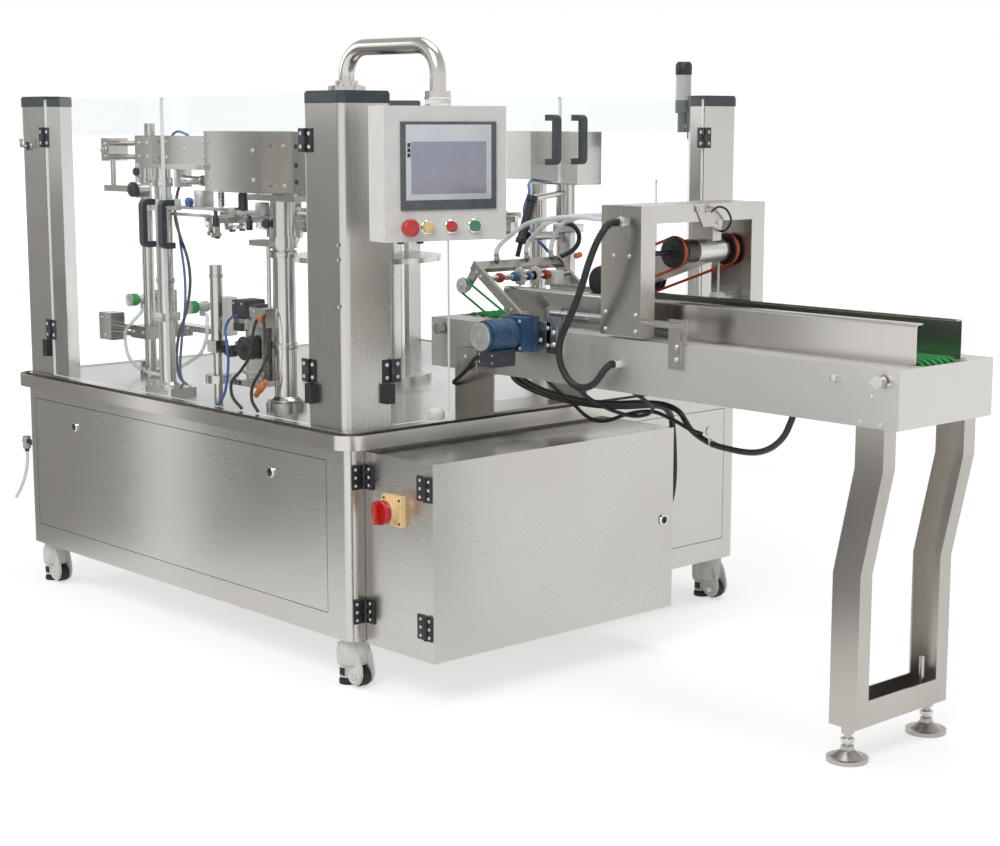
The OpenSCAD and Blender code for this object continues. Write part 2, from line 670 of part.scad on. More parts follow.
module stop_mushroom() color("red") machine() {
    push_button(0);
    hmi_place() rod_x(hmi_d / 2 + 12, hmi_d / 2 + 24, button_y[0], button_z, 19);
}
module yellow_button() color("khaki") machine() push_button(1);
module red_button() color("crimson") machine() push_button(2);
module green_button() color("seagreen") machine() push_button(3);

// Conveyor beam: a sheet box, open below, its top slotted for the belts
beam_t = 3;
beam_y0 = conv_y - beam_w / 2;
beam_y1 = conv_y + beam_w / 2;
slot_y0 = conv_y - belt_gap_w / 2;
slot_y1 = conv_y + belt_gap_w / 2;
belt_r = belt_d / 2;
axle_z = beam_z1 + 4 - roller_r - belt_r;
axle_r = 8;
drive_in = 44;
tail_in = 40;
drive_x = beam_x0 + drive_in;
tail_x = beam_x1 - tail_in;
junction_x = [44, 900];
junction_z = 735;
module conveyor_beam() color("silver") machine() {
    beam_box();
    for (s = [0, 1]) pick_bracket(pick_y[s], s ? -1 : 1);
    for (x = junction_x) bar(x - 22, x + 22, beam_y0 + beam_t, beam_y0 + beam_t + 44, junction_z, junction_z + 50);
}
module pick_bracket(y, s) {
    y0 = y + s * (pick_t / 2 + 1);
    translate([pick_pivot[0], 0, 0]) bar(-14, 14, min(y0, y0 + s * pick_boss), max(y0, y0 + s * pick_boss), beam_z1,
        pick_pivot[1] + 14);
    rod_y(pick_pivot[0], y - pick_t / 2 - (s < 0 ? pick_boss / 2 : 3), y + pick_t / 2 + (s > 0 ? pick_boss / 2 : 3),
        pick_pivot[1], pick_pin_r);
}
module beam_box() difference() {
    bar(beam_x0, beam_x1, beam_y0, beam_y1, beam_z0, beam_z1);
    bar(beam_x0 + beam_t, beam_x1 - beam_t, beam_y0 + beam_t, beam_y1 - beam_t, beam_z0 - 1, beam_z1 - beam_t);
    bar(beam_x0 + 8, beam_x1 - 4, slot_y0, slot_y1, beam_z1 - beam_t - 1, beam_z1 + 1);
    for (x = [drive_x, tail_x]) rod_y(x, beam_y0 - 1, beam_y1 + 1, axle_z, axle_r + run);
}
rail_t = 3;
rail_x0 = -60;
rail_x1 = beam_x1 - 23;
lip_rail = 22;
// Guide rail: foot on the beam, upright, rounded inner lip
module rail_section() {
    square([rail_t, rail_h - 8]);
    translate([-16, 0]) square([16 + rail_t, rail_t]);
    translate([8, rail_h - 8]) intersection() {
        difference() {
            circle(8);
            circle(8 - rail_t);
        }
        translate([-8, 0]) square([8, 8]);
    }
    translate([8 - 0.01, rail_h - rail_t]) square([lip_rail - 8, rail_t]);
}
module guide_rails() color("gainsboro") machine() {
    translate([rail_x0, slot_y0 - 4, beam_z1]) rotate([90, 0, 90]) linear_extrude(rail_x1 - rail_x0)
        rail_section();
    translate([rail_x0, slot_y1 + 4, beam_z1]) rotate([90, 0, 90]) linear_extrude(rail_x1 - rail_x0)
        mirror([1, 0, 0]) rail_section();
}
belt_n = 6;
belt_pitch = 22;
// A round belt on two equal pulleys in the plane across y; ra is the belt's own centre radius
module round_belt(a, b, y, ra, r) {
    len = norm(b - a);
    t = atan2(b[1] - a[1], b[0] - a[0]);
    translate([a[0], y, a[1]]) rotate([90, -t, 0]) {
        rotate([0, 0, 90]) rotate_extrude(angle = 180) translate([ra, 0]) circle(r, $fn = 16);
        translate([len, 0, 0]) rotate([0, 0, -90]) rotate_extrude(angle = 180) translate([ra, 0]) circle(r, $fn = 16);
        for (s = [-1, 1]) translate([0, s * ra, 0]) rotate([0, 90, 0]) cylinder(r = r, h = len, $fn = 16);
    }
}
belt_clear = 0.3;
module conveyor_belts() color("limegreen") machine() for (i = [0:belt_n - 1])
    round_belt([drive_x, axle_z], [tail_x, axle_z], conv_y + (i - (belt_n - 1) / 2) * belt_pitch,
        roller_r + belt_r + belt_clear, belt_r);
module roller(x) {
    rod_y(x, slot_y0 + 4, slot_y1 - 4, axle_z, roller_r);
    rod_y(x, beam_y0 - 14, beam_y1 + 14, axle_z, axle_r);
    rod_y(x, beam_y0 - 20, beam_y0 - 4, axle_z, axle_r + 5);
}
module drive_roller() color("gray") machine() roller(drive_x);
module tail_roller() color("gray") machine() roller(tail_x);

// Gearmotor on its box bracket at the beam's side
motor_x = 112;
motor_z = beam_z1 - 11;
motor_r = 37;
gear_w = 80;
gear_y = beam_y0 - 53;
module gearmotor() color("steelblue") machine() {
    bar(motor_x - gear_w / 2, motor_x + gear_w / 2, gear_y, gear_y + 32, motor_z - gear_w / 2, motor_z + gear_w / 2);
    rod_y(motor_x, gear_y - 84, gear_y, motor_z, motor_r);
    rod_y(motor_x, gear_y - 96, gear_y - 84, motor_z, motor_r - 4);
    bar(motor_x - 28, motor_x + 28, gear_y - 78, gear_y - 12, motor_z - motor_r - 28, motor_z - motor_r + 4);
    difference() {
        bar(motor_x - gear_w / 2 - 2, motor_x + gear_w / 2 + 2, gear_y + 32, beam_y0, motor_z - gear_w / 2 - 2,
            motor_z + gear_w / 2 + 2);
        bar(motor_x - gear_w / 2 + 2, motor_x + gear_w / 2 - 2, gear_y + 36, beam_y0 - 4, motor_z - gear_w / 2 - 9,
            motor_z + gear_w / 2 + 9);
    }
}
pedestal_x = [-150, -8];
pedestal_t = 4;
module pedestal() difference() {
    bar(pedestal_x[0], pedestal_x[1], beam_y0, beam_y1, deck_z, beam_z0);
    bar(pedestal_x[0] - 1, pedestal_x[1] + 1, beam_y0 + pedestal_t, beam_y1 - pedestal_t, deck_z + pedestal_t,
        beam_z0 - pedestal_t);
}

// End stand: two bent channel legs, a cross channel and two levelling feet
leg_y = [beam_y0 + beam_t, beam_y1 - beam_t - leg_d];
leg_top = axle_z - axle_r - 6;
leg_wall = 4;
knee_z = [625, 400];
cross_z = [76, 130];
foot_x = stand_x - stand_step;
module leg_outline() polygon([
    [-leg_w / 2, leg_top], [leg_w / 2, leg_top], [leg_w / 2, knee_z[0]],
    [leg_w / 2 - stand_step, knee_z[1]], [leg_w / 2 - stand_step, cross_z[0]],
    [-leg_w / 2 - stand_step, cross_z[0]], [-leg_w / 2 - stand_step, knee_z[1]], [-leg_w / 2, knee_z[0]]
]);
module leg_hollow() polygon([
    [-leg_w / 2 + leg_wall, beam_z1], [leg_w / 2 - leg_wall, beam_z1], [leg_w / 2 - leg_wall, knee_z[0]],
    [leg_w / 2 - leg_wall - stand_step, knee_z[1]], [leg_w / 2 - leg_wall - stand_step, 0],
    [-leg_w / 2 + leg_wall - stand_step, 0], [-leg_w / 2 + leg_wall - stand_step, knee_z[1]],
    [-leg_w / 2 + leg_wall, knee_z[0]]
]);
// The channel's web is on the outer side
module leg(y, outer) {
    translate([stand_x, y, 0]) rotate([90, 0, 0]) mirror([0, 0, 1]) difference() {
        linear_extrude(leg_d) leg_outline();
        translate([0, 0, outer ? -1 : leg_wall]) linear_extrude(leg_d + 1 - leg_wall) leg_hollow();
    }
}
module level_foot(x, y) {
    difference() {
        translate([x, y, 0]) cylinder(r = foot_d / 2, h = 9);
        for (a = [45, 225]) translate([x + 32 * cos(a), y + 32 * sin(a), -1]) cylinder(r = 5, h = 12);
    }
    translate([x, y, 9]) cylinder(r1 = 34, r2 = 16, h = 14, $fn = 40);
    rod_z(x, y, 20, cross_z[0], 8);
    translate([x, y, 23]) cylinder(r = 15, h = 10, $fn = 6);
    translate([x, y, 60]) cylinder(r = 15, h = 16, $fn = 6);
}
foot_y = [leg_y[0] + leg_d / 2, leg_y[1] + leg_d / 2];
module conveyor_stands() color("silver") machine() {
    pedestal();
    leg(leg_y[0], false);
    leg(leg_y[1], true);
    difference() {
        bar(foot_x - leg_w / 2, foot_x + leg_w / 2, leg_y[0] + leg_wall, leg_y[1] + leg_d - leg_wall, cross_z[0],
            cross_z[1]);
        bar(foot_x - leg_w / 2 + leg_wall, foot_x + leg_w / 2 - leg_wall, leg_y[0], leg_y[1] + leg_d,
            cross_z[0] + leg_wall, cross_z[1] + 1);
    }
    for (y = foot_y) level_foot(foot_x, y);
    rod_z(foot_x + 12, leg_y[1] - 20, cross_z[0] + leg_wall, cross_z[1] + 52, 6);
}

// Portal: an inverted U of sheet boxes over the beam, hung on rods from slotted plates
portal_x1 = portal_x + portal_l;
portal_y = [beam_y0 - 13, beam_y1 + 84];
portal_leg = 46;
portal_z0 = beam_z1 + 8;
portal_beam_z = portal_top - 40;
box_wall = 3;
hang_z = beam_z1 + 42;
hang_y = beam_y0 - 5;
shaft_r = 6;
module slot_plate(x, z0, z1) {
    difference() {
        bar(x - 25, x + 25, beam_y0 - 6, beam_y0, z0, z1);
        bar(x + 6, x + 14, beam_y0 - 7, beam_y0 + 1, z0 + 14, z1 - 26);
    }
}
module portal_frame() color("gainsboro") machine() {
    difference() {
        bar(portal_x, portal_x1, portal_y[0], portal_y[1], portal_z0, portal_top);
        bar(portal_x - 1, portal_x1 + 1, portal_y[0] + portal_leg, portal_y[1] - portal_leg, portal_z0 - 1, portal_beam_z);
        bar(portal_x + box_wall, portal_x1 - box_wall, portal_y[0] + box_wall, portal_y[0] + portal_leg - box_wall,
            portal_z0 - 1, portal_top - box_wall);
        bar(portal_x + box_wall, portal_x1 - box_wall, portal_y[1] - portal_leg + box_wall, portal_y[1] - box_wall,
            portal_z0 - 1, portal_top - box_wall);
        bar(portal_x + box_wall, portal_x1 - box_wall, portal_y[0] + box_wall, portal_y[1] - box_wall,
            portal_beam_z + box_wall, portal_top - box_wall);
        rod_y(press_x, portal_y[0] + portal_leg - box_wall - 1, portal_y[1] - portal_leg + box_wall + 1, press_z,
            shaft_r + run);
    }
    rod_x(portal_x - 170, portal_x, portal_y[0] + 9, hang_z, 8);
    rod_x(portal_x1, portal_x1 + 120, portal_y[0] + 9, hang_z, 8);
    for (x = [portal_x - 160, portal_x1 + 104]) slot_plate(x, beam_z1 - 54, beam_z1 + 56);
    rod_y(conduit_top[0], portal_y[0] - 14, portal_y[0], conduit_top[1], 11);
    rod_y(conduit_low[0], beam_y0 - 12, beam_y0, conduit_low[1], 11);
    bar(portal_x + 20, portal_x1 - 20, beam_y1, portal_y[1] - portal_leg, beam_z1 - 32, portal_z0 + 12);
}

// Press unit inside the portal: an inclined body on a cross shaft, with round belts
press_x = portal_x + 60;
press_low = [196, beam_z1 + 106];
press_side = [154, 35];
press_w = [portal_y[0] + portal_leg + press_side[0], portal_y[1] - portal_leg - press_side[1]];
press_r = 20;
pulley_r = 31;
press_belt_r = 3.5;
pulley_out = 20;
press_belt_y = [press_w[0] - pulley_out, press_w[1] + pulley_out];
sensor_rise = 45;
sensor_z = press_z + sensor_rise;
sensor_r = 16;
sensor_y = press_w[1] - 20;
hanger_w = 30;
press_len = sqrt(pow(press_x - press_low[0], 2) + pow(press_z - press_low[1], 2));
press_tilt = atan2(press_z - press_low[1], press_x - press_low[0]);
module press_frame() color("gray") machine() {
    translate([press_low[0], 0, press_low[1]]) rotate([0, -press_tilt, 0]) difference() {
        union() {
            bar(0, press_len, press_w[0], press_w[1], -press_r, press_r);
            rod_y(press_len, press_w[0], press_w[1], 0, press_r + 8);
            rod_y(0, press_w[0], press_w[1], 0, press_r);
        }
        rod_y(press_len, press_w[0] - 1, press_w[1] + 1, 0, shaft_r + run);
        rod_y(0, press_w[0] - 1, press_w[1] + 1, 0, shaft_r + run);
        bar(press_r + 30, press_len - press_r - 30, press_w[0] + 4, press_w[1] - 4, -press_r + 3, press_r - 3);
    }
    bar(portal_x + hanger_w, portal_x1 - hanger_w, sensor_y - 18 - hanger_w, sensor_y - 18, press_z + 24, portal_beam_z);
    rod_y(press_x + 2, sensor_y - 34, sensor_y, sensor_z, sensor_r);
    bar(press_x + 2 - sensor_r / 2, press_x + 2 + sensor_r / 2, sensor_y - 34, sensor_y, sensor_z, portal_beam_z);
}
module press_belts() color("orangered") machine() for (y = press_belt_y)
    round_belt(press_low, [press_x, press_z], y, pulley_r + press_belt_r + belt_clear, press_belt_r);
module grooved_pulley(x, y, z, r) {
    rod_y(x, y - 9, y + 9, z, r);
    for (s = [-1, 1]) rod_y(x, y + s * 7 - 2, y + s * 7 + 2, z, r + 5);
}
module press_roller_top() color("dimgray") machine() {
    rod_y(press_x, portal_y[0] + portal_leg - box_wall, portal_y[1] - portal_leg + box_wall, press_z, shaft_r);
    for (y = press_belt_y) grooved_pulley(press_x, y, press_z, pulley_r);
}
module press_roller_low() color("dimgray") machine() {
    rod_y(press_low[0], press_belt_y[0] - 16, press_belt_y[1] + 16, press_low[1], shaft_r);
    for (y = press_belt_y) grooved_pulley(press_low[0], y, press_low[1], pulley_r);
}

// Bag pick-up: side bars on a cross shaft, crossbar, wheel shaft with blocks
pick_pivot = [62, beam_z1 + 19];
pick_top = [-108, beam_z1 + 136];
pick_y = [beam_y0 + 24, beam_y1 - 24];
pick_t = 10;
pick_h = 24;
pick_pin_r = 7;
pick_boss = 12;
pick_len = sqrt(pow(pick_pivot[0] - pick_top[0], 2) + pow(pick_top[1] - pick_pivot[1], 2));
pick_tilt = atan2(pick_top[1] - pick_pivot[1], pick_pivot[0] - pick_top[0]);
module pickup_arm() color("gainsboro") machine() {
    translate([pick_pivot[0], 0, pick_pivot[1]]) rotate([0, pick_tilt, 0]) {
        for (y = pick_y) difference() {
            union() {
                bar(-pick_len, 0, y - pick_t / 2, y + pick_t / 2, -pick_h / 2, pick_h / 2);
                rod_y(0, y - pick_t / 2, y + pick_t / 2, 0, pick_h / 2);
            }
            rod_y(0, y - pick_t, y + pick_t, 0, pick_pin_r + run);
        }
        bar(-pick_len, -pick_len + 30, pick_y[0], pick_y[1], -2, 10);
        rod_y(-pick_len + 60, pick_y[0], pick_y[1], 4, 6);
    }
}

// Turret: fixed column with cam disc and indexing gearbox, turning disc, gripper arms
column_r = 105;
base_r = 180;
base_h = 18;
cam_r = 210;
cam_t = 14;
index_w = 300;
index_h = 130;
index_drop = 190;
index_motor = [120, 160, 90];
disc_t = 20;
hub_h = 60;
head_r = 130;
head_t = 14;
hub_r = 90;
shaft_bore = 40;
cam_z = disc_z - 90;
module turret_column() color("silver") machine() translate([turret_x, turret_y, 0]) difference() {
    union() {
        translate([0, 0, deck_z]) cylinder(r = base_r, h = base_h);
        translate([0, 0, tray_z0 - index_drop + 20]) cylinder(r = neck_r, h = deck_z - tray_z0 + index_drop - 18);
        translate([0, 0, deck_z]) cylinder(r = column_r, h = disc_z - seat - deck_z);
        translate([0, 0, cam_z]) cylinder(r = cam_r, h = cam_t);
        translate([-index_w / 2, -index_w / 2, tray_z0 - index_drop]) cube([index_w, index_w, index_h]);
        translate([-index_motor[0] / 2, index_w / 2, tray_z0 - index_drop + 20]) cube(index_motor);
    }
    translate([0, 0, tray_z0 - 100]) cylinder(r = shaft_bore + run, h = disc_z - tray_z0 + 101);
}
module turret_disc() color("silver") machine() translate([turret_x, turret_y, 0]) {
    translate([0, 0, tray_z0 - 99]) cylinder(r = shaft_bore, h = disc_z - tray_z0 + 100);
    translate([0, 0, disc_z]) cylinder(r = disc_r, h = disc_t);
    translate([0, 0, disc_z + disc_t]) cylinder(r = hub_r, h = hub_h);
    translate([0, 0, disc_z + disc_t + hub_h]) cylinder(r = head_r, h = head_t);
}
arm_off = 52;
arm_in = 70;
arm_l = 205;
module gripper_arms() color("silver") machine() translate([turret_x, turret_y, disc_z + disc_t])
    for (i = [0:stations - 1]) rotate([0, 0, (i + 0.5) * 360 / stations]) for (s = [-1, 1]) {
        translate([disc_r - arm_in, s * arm_off - 11, 0]) cube([arm_l, 22, 16]);
        translate([disc_r - arm_in + 22, s * arm_off, 16]) cylinder(r = 14, h = 22);
        translate([disc_r - arm_in + arm_l - 20, s * arm_off - s * 14 - 12, -26]) cube([14, 24, 26]);
        translate([disc_r - arm_in + arm_l - 26, s * arm_off - s * 26 - 12, -36]) cube([26, 24, 10]);
    }

// Stations round the turret: columns with flanges and clamps, top boxes, cylinders
foot_t = 16;
big_col = [-431, 139];
big_r = 28;
big_top = 1125;
big_foot_r = 50;
big_ring = [35, 1009, 1038];
big_sleeve_r = 31;
big_plate = [-520, -320, 95, 185, 1125, 1139];
plate_box = [-452, -310, 120, 210, 1139, 1292];
head_cover = [-670, -428, 72, 122, 1143, 1293];
head_box = [-670, -452, 72, 190, 1143, 1293];
thick_col = [-875, 78];
thick_r = 22;
thick_top = 1200;
thick_foot = [-930, -805, 42, 120];
lift_bar = [-960, -660, 62, 100, 1196, 1209];
lift_block = [-961, -879, 50, 110, 1209, 1281];
lift_plate = [-880, -665, 82, 108, 1209, 1281];
lift_post = [-935, 80, 1281, 1312];
lift_cap = [-1131, -1094, 50, 110, 1213, 1273];
lift_rod_x = [-1095, -960];
lift_rod_z = [1260, 1224];
lift_rod_r = 7;
low_bar = [-1149, -984, 66, 94, 1132, 1148];
low_knob_r = 18;
clamp_col = [-1205, 232];
clamp_col_r = 16;
clamp_top = 1190;
clamp_block = [-1239, -1159, 190, 343, 717, 752];
opener_beam = [-1284, -936, 300, 343, 736, 752];
end_block = [-1420, -1354, 195, 240, 698, 776];
end_rod_z = [722, 740];
thin_col = [-1385, 338];
thin_r = 14;
thin_clamp = [-1405, -1362, 320, 356, 1143, 1205];
small_col = [-612, 60];
small_r = [11, 16];
small_step = 740;
small_top = 961;
small_flange = [32, 664, 684];
small_clamp = [-632, -592, 42, 80, 742, 772];
printer_plate = [-630, -431, 50, 130, 668, 682];
printer_stem = [-540, -470, 96, 140, 682, 860];
printer_head = [-583, -535, 90, 150, 800, 872];
printer_block = [-489, -430, 80, 125, 814, 861];
coder_rod = [-440, 100, 850, 1020];
coder_clamp = [-505, -420, 88, 128, 1014, 1028];
rear_x = [-300, -700, -1180];
rear_in = [372, 95, 312];
rear_top = 1150;
rear_r = 26;
rear_head = [90, 45, 140];
side_col = [-330, 330];
side_col_r = 20;
side_top = 1020;
side_head = [30, 40];
module box6(b) bar(b[0], b[1], b[2], b[3], b[4], b[5]);
module column(p, r, z1, foot_r) {
    rod_z(p[0], p[1], deck_z, z1, r);
    rod_z(p[0], p[1], deck_z, deck_z + foot_t, foot_r);
}
module station_frames() color("silver") machine() {
    for (b = [big_plate, plate_box, head_cover, head_box, lift_bar, lift_block, lift_plate, lift_cap, low_bar, clamp_block,
        opener_beam, end_block, thin_clamp, small_clamp, printer_plate, printer_stem, printer_head, printer_block,
        coder_clamp]) box6(b);
    column(big_col, big_r, big_top, big_foot_r);
    rod_z(big_col[0], big_col[1], big_ring[1], big_ring[2], big_ring[0]);
    rod_z(big_col[0], big_col[1], big_ring[2] - 1, big_top, big_sleeve_r);
    rod_z(thick_col[0], thick_col[1], deck_z, thick_top, thick_r);
    bar(thick_foot[0], thick_foot[1], thick_foot[2], thick_foot[3], deck_z, deck_z + foot_t);
    rod_z(lift_post[0], lift_post[1], lift_post[2], lift_post[3], lift_rod_r * 2);
    for (z = lift_rod_z) rod_x(lift_rod_x[0], lift_rod_x[1], thick_col[1], z, lift_rod_r);
    rod_z(low_bar[0] + 30, thick_col[1], low_bar[5] - 2, lift_cap[4] + 1, lift_rod_r);
    rod_y(low_bar[1], low_bar[2] - 2, low_bar[3] + 2, low_bar[4] + 4, low_knob_r);
    column(clamp_col, clamp_col_r, clamp_top, clamp_col_r * 2);
    for (z = end_rod_z) rod_x(end_block[1] - 1, clamp_block[0] + 1, end_block[2] + 22, z, lift_rod_r);
    column(thin_col, thin_r, clamp_top, thin_r * 2);
    rod_z(small_col[0], small_col[1], deck_z, small_step + 2, small_r[0]);
    rod_z(small_col[0], small_col[1], small_step, small_top, small_r[1]);
    rod_z(small_col[0], small_col[1], small_flange[1], small_flange[2], small_flange[0]);
    rod_z(coder_rod[0], coder_rod[1], coder_rod[2], coder_rod[3], lift_rod_r - 2);
    for (x = cup_x) difference() {
        bar(x - cyl_w, x + cyl_w, cyl_y[0], cyl_y[1], opener_beam[5] - 1, cup_z + cyl_w);
        rod_y(x, cyl_y[0] - 1, cyl_y[1] + 1, cup_z, cup_rod_r + run);
    }
    rear_stations();
}
module rear_stations() {
    for (i = [0:2]) {
        p = [rear_x[i], cab_w - rear_in[i]];
        column(p, rear_r, rear_top, rear_r * 2);
        bar(p[0] - rear_head[0], p[0] + rear_head[0], p[1] - rear_head[1], p[1] + rear_head[1], rear_top,
            rear_top + rear_head[2]);
    }
    column(side_col, side_col_r, side_top, side_col_r * 2);
    bar(side_col[0] - side_head[0] + 10, side_col[0] + side_head[1], side_col[1] - side_head[1],
        side_col[1] + side_head[1] - 20, side_top, side_top + side_head[1]);
}
// Pouch opener: suction cups on arms that slide in two cylinders
cup_x = [-1262, -960];
cup_z = 820;
cup_y = 206;
cup_r = 14;
cup_rod_r = 8;
cyl_w = 22;
cyl_y = [298, 345];
module suction_arms() color("mediumseagreen") machine() for (x = cup_x) {
    rod_y(x, cup_y + 22, cyl_y[1] + 7, cup_z, cup_rod_r);
    rod_y(x, cup_y, cup_y + 22, cup_z, cup_r);
}

// Casters: plate, swivel housing with a levelling pad, wheel
caster_in = 49;
caster_h = floor_gap;
wheel_r = 25;
wheel_off = 22;
pad_off = -24;
module caster_place(i) translate([
    i == 0 || i == 2 ? -caster_in : -cab_l + caster_in,
    i < 2 ? caster_in : cab_w - caster_in,
    0]) children();
module caster(i) color("whitesmoke") machine() caster_place(i) {
    translate([0, 0, caster_h - 6 - seat]) cylinder(r = 30, h = 6);
    translate([0, 0, caster_h - 6 - seat - 16]) cylinder(r = 34, h = 16);
    for (s = [-1, 1]) difference() {
        bar(-44, 48, s * 17 - 3, s * 17 + 3, 20, caster_h - 20);
        rod_y(wheel_off, s * 17 - 5, s * 17 + 5, wheel_r + 3, 4 + run);
        translate([-50, s * 17 - 4, 14]) rotate([0, 35, 0]) translate([-30, 0, -40]) cube([40, 8, 60]);
    }
    bar(-44, -2, -20, 20, 44, caster_h - 20);
    rod_z(pad_off, 0, 14, 50, 6);
    rod_z(pad_off, 0, 0, 14, 22);
    rod_z(pad_off, 0, 26, 36, 20);
}
module caster_wheel(i) color("dimgray") machine() caster_place(i) {
    rod_y(wheel_off, -11, 11, wheel_r + 3, wheel_r);
    rod_y(wheel_off, -22, 22, wheel_r + 3, 4);
}
module caster_1() caster(0);
module caster_2() caster(1);
module caster_3() caster(2);
module caster_4() caster(3);
module caster_wheel_1() caster_wheel(0);
module caster_wheel_2() caster_wheel(1);
module caster_wheel_3() caster_wheel(2);
module caster_wheel_4() caster_wheel(3);

// Cords. Points along each route, chosen by hand; the conduit's y is from the beam's front face
gland_y = 850;
gland_z = 470;
gland_r = 9;
gland_l = 14;
bundle_r = 8;
loop_r = 7;
conduit_r = 9;
conduit_top = [435, 1094];
conduit_low = [412, 774];
conduit_path = [
    [435, -27, 1094], [435, -49, 1094], [430, -65, 1080], [416, -76, 1048], [398, -81, 1004], [378, -81, 955],
    [352, -79, 905], [325, -77, 862], [304, -75, 826], [297, -73, 790], [305, -69, 756], [327, -63, 728],
    [356, -56, 718], [384, -46, 730], [402, -33, 760], [412, -23, 774], [412, -12, 774]
];
bundle_path = [
    [34, 478, 735], [34, 478, 712], [44, 490, 692], [76, 520, 670], [116, 560, 652], [154, 604, 640],
    [188, 650, 633], [214, 702, 630], [232, 756, 629], [232, 806, 618], [222, 842, 590], [216, 856, 550],
    [218, 858, 505], [220, 858, 460], [218, 858, 415], [208, 858, 372], [184, 858, 334], [148, 858, 314],
    [108, 856, 318], [76, 854, 346], [56, 852, 386], [44, 851, 426], [34, 850, 458], [26, 850, 470], [14, 850, 470]
];
loop_path = [
    [56, 478, 735], [56, 478, 712], [68, 496, 692], [100, 524, 672], [142, 564, 656], [180, 608, 645],
    [214, 656, 641], [244, 706, 641], [286, 742, 638], [338, 740, 628], [392, 706, 614], [446, 668, 602],
    [506, 636, 594], [570, 606, 590], [634, 580, 592], [700, 556, 596], [762, 532, 606], [818, 510, 626],
    [862, 494, 656], [888, 484, 690], [900, 478, 712], [900, 478, 735]
];
hose_r = 5;
hose_path = [[0, 0, -30], [0, 0, -52], [-3, -3, -84], [-9, -9, -114], [-17, -17, -142], [-27, -27, -168]];
function unit(v) = v / norm(v);
function along(p, i) = unit(p[min(i + 1, len(p) - 1)] - p[max(i - 1, 0)]);
function ring(p, i, r, sides) =
    let (t = along(p, i), up = abs(t[2]) < 0.9 ? [0, 0, 1] : [1, 0, 0], a = unit(cross(up, t)), b = cross(t, a))
    [for (k = [0:sides - 1]) p[i] + r * (cos(360 * k / sides) * a + sin(360 * k / sides) * b)];
module cord(p, r, sides) {
    n = len(p);
    points = [for (i = [0:n - 1]) each ring(p, i, r, sides)];
    walls = [for (i = [0:n - 2], k = [0:sides - 1])
        [i * sides + k, i * sides + (k + 1) % sides, (i + 1) * sides + (k + 1) % sides, (i + 1) * sides + k]];
    start = [[for (k = [sides - 1:-1:0]) k]];
    end = [[for (k = [0:sides - 1]) (n - 1) * sides + k]];
    polyhedron(points, concat(walls, start, end));
}
module portal_conduit() color("black") machine() translate([0, beam_y0, 0]) cord(conduit_path, conduit_r, 10);
module bundle_cable() color("black") machine() cord(bundle_path, bundle_r, 10);
module loop_cable() color("black") machine() cord(loop_path, loop_r, 10);
module air_hose() color("white") machine() translate([-cab_l + inlet_x, inlet_y, inlet_z]) cord(hose_path, hose_r, 8);

cabinet_frame();
front_access_panel();
side_access_panel();
table_tray();
guard_posts();
post_caps();
fixed_guards();
guard_fittings();
front_door_left();
front_door_right();
side_door_left();
side_door_right();
front_left_fittings();
front_right_fittings();
side_left_fittings();
side_right_fittings();
lamp_body();
lamp_lens();
ebox_shell();
ebox_plate();
ebox_door();
mains_switch_base();
mains_switch_knob();
hmi_arm();
hmi_case();
hmi_screen();
stop_mushroom();
yellow_button();
red_button();
green_button();
conveyor_beam();
guide_rails();
conveyor_belts();
drive_roller();
tail_roller();
gearmotor();
conveyor_stands();
portal_frame();
press_frame();
press_belts();
press_roller_top();
press_roller_low();
pickup_arm();
turret_column();
turret_disc();
gripper_arms();
suction_arms();
station_frames();
caster_1();
caster_2();
caster_3();
caster_4();
caster_wheel_1();
caster_wheel_2();
caster_wheel_3();
caster_wheel_4();
portal_conduit();
bundle_cable();
loop_cable();
air_hose();
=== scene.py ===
# Rotary pouch packing machine: finishes, small parts, cables, light and camera.
import math

import bpy
from mathutils import Matrix, Vector


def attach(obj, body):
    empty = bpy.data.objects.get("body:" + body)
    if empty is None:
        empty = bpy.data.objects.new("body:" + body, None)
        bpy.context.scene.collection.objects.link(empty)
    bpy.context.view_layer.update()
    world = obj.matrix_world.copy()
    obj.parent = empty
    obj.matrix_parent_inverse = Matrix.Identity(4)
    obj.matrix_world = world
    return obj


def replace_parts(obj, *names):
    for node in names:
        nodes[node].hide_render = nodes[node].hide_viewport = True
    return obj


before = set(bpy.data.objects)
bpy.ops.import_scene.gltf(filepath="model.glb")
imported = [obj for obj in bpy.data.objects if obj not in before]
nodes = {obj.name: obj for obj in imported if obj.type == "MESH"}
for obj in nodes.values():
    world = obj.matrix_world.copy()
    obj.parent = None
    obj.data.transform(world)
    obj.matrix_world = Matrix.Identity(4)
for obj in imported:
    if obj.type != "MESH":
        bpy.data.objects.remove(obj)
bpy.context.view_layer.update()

# The machine is drawn in millimetres from the cabinet's near bottom corner; the frame is
# in metres from the middle of the outline.
MID_X = -191.5
MID_Y = 661.127


def at(x, y, z):
    return Vector(((x - MID_X) / 1000, (y - MID_Y) / 1000, z / 1000))


# Camera

bpy.ops.object.camera_add(
    location=at(3371.5, -2599.2, 1309.8),
    rotation=(math.radians(80.999), 0, math.radians(47.709)),
)
camera = bpy.context.object
camera.data.lens = 67.91
camera.data.sensor_width = 36
bpy.context.scene.camera = camera


# Cutting and joining by hand


def nothing_selected():
    if bpy.context.mode != "OBJECT":
        bpy.ops.object.mode_set(mode="OBJECT")
    bpy.ops.object.select_all(action="DESELECT")


def pick(*pieces):
    nothing_selected()
    for piece in pieces:
        piece.select_set(True)
    bpy.context.view_layer.objects.active = pieces[0]


def place_in_mesh(piece):
    """Put the piece's place, turn and size into its mesh."""
    pick(piece)
    bpy.ops.object.transform_apply(location=True, rotation=True, scale=True)


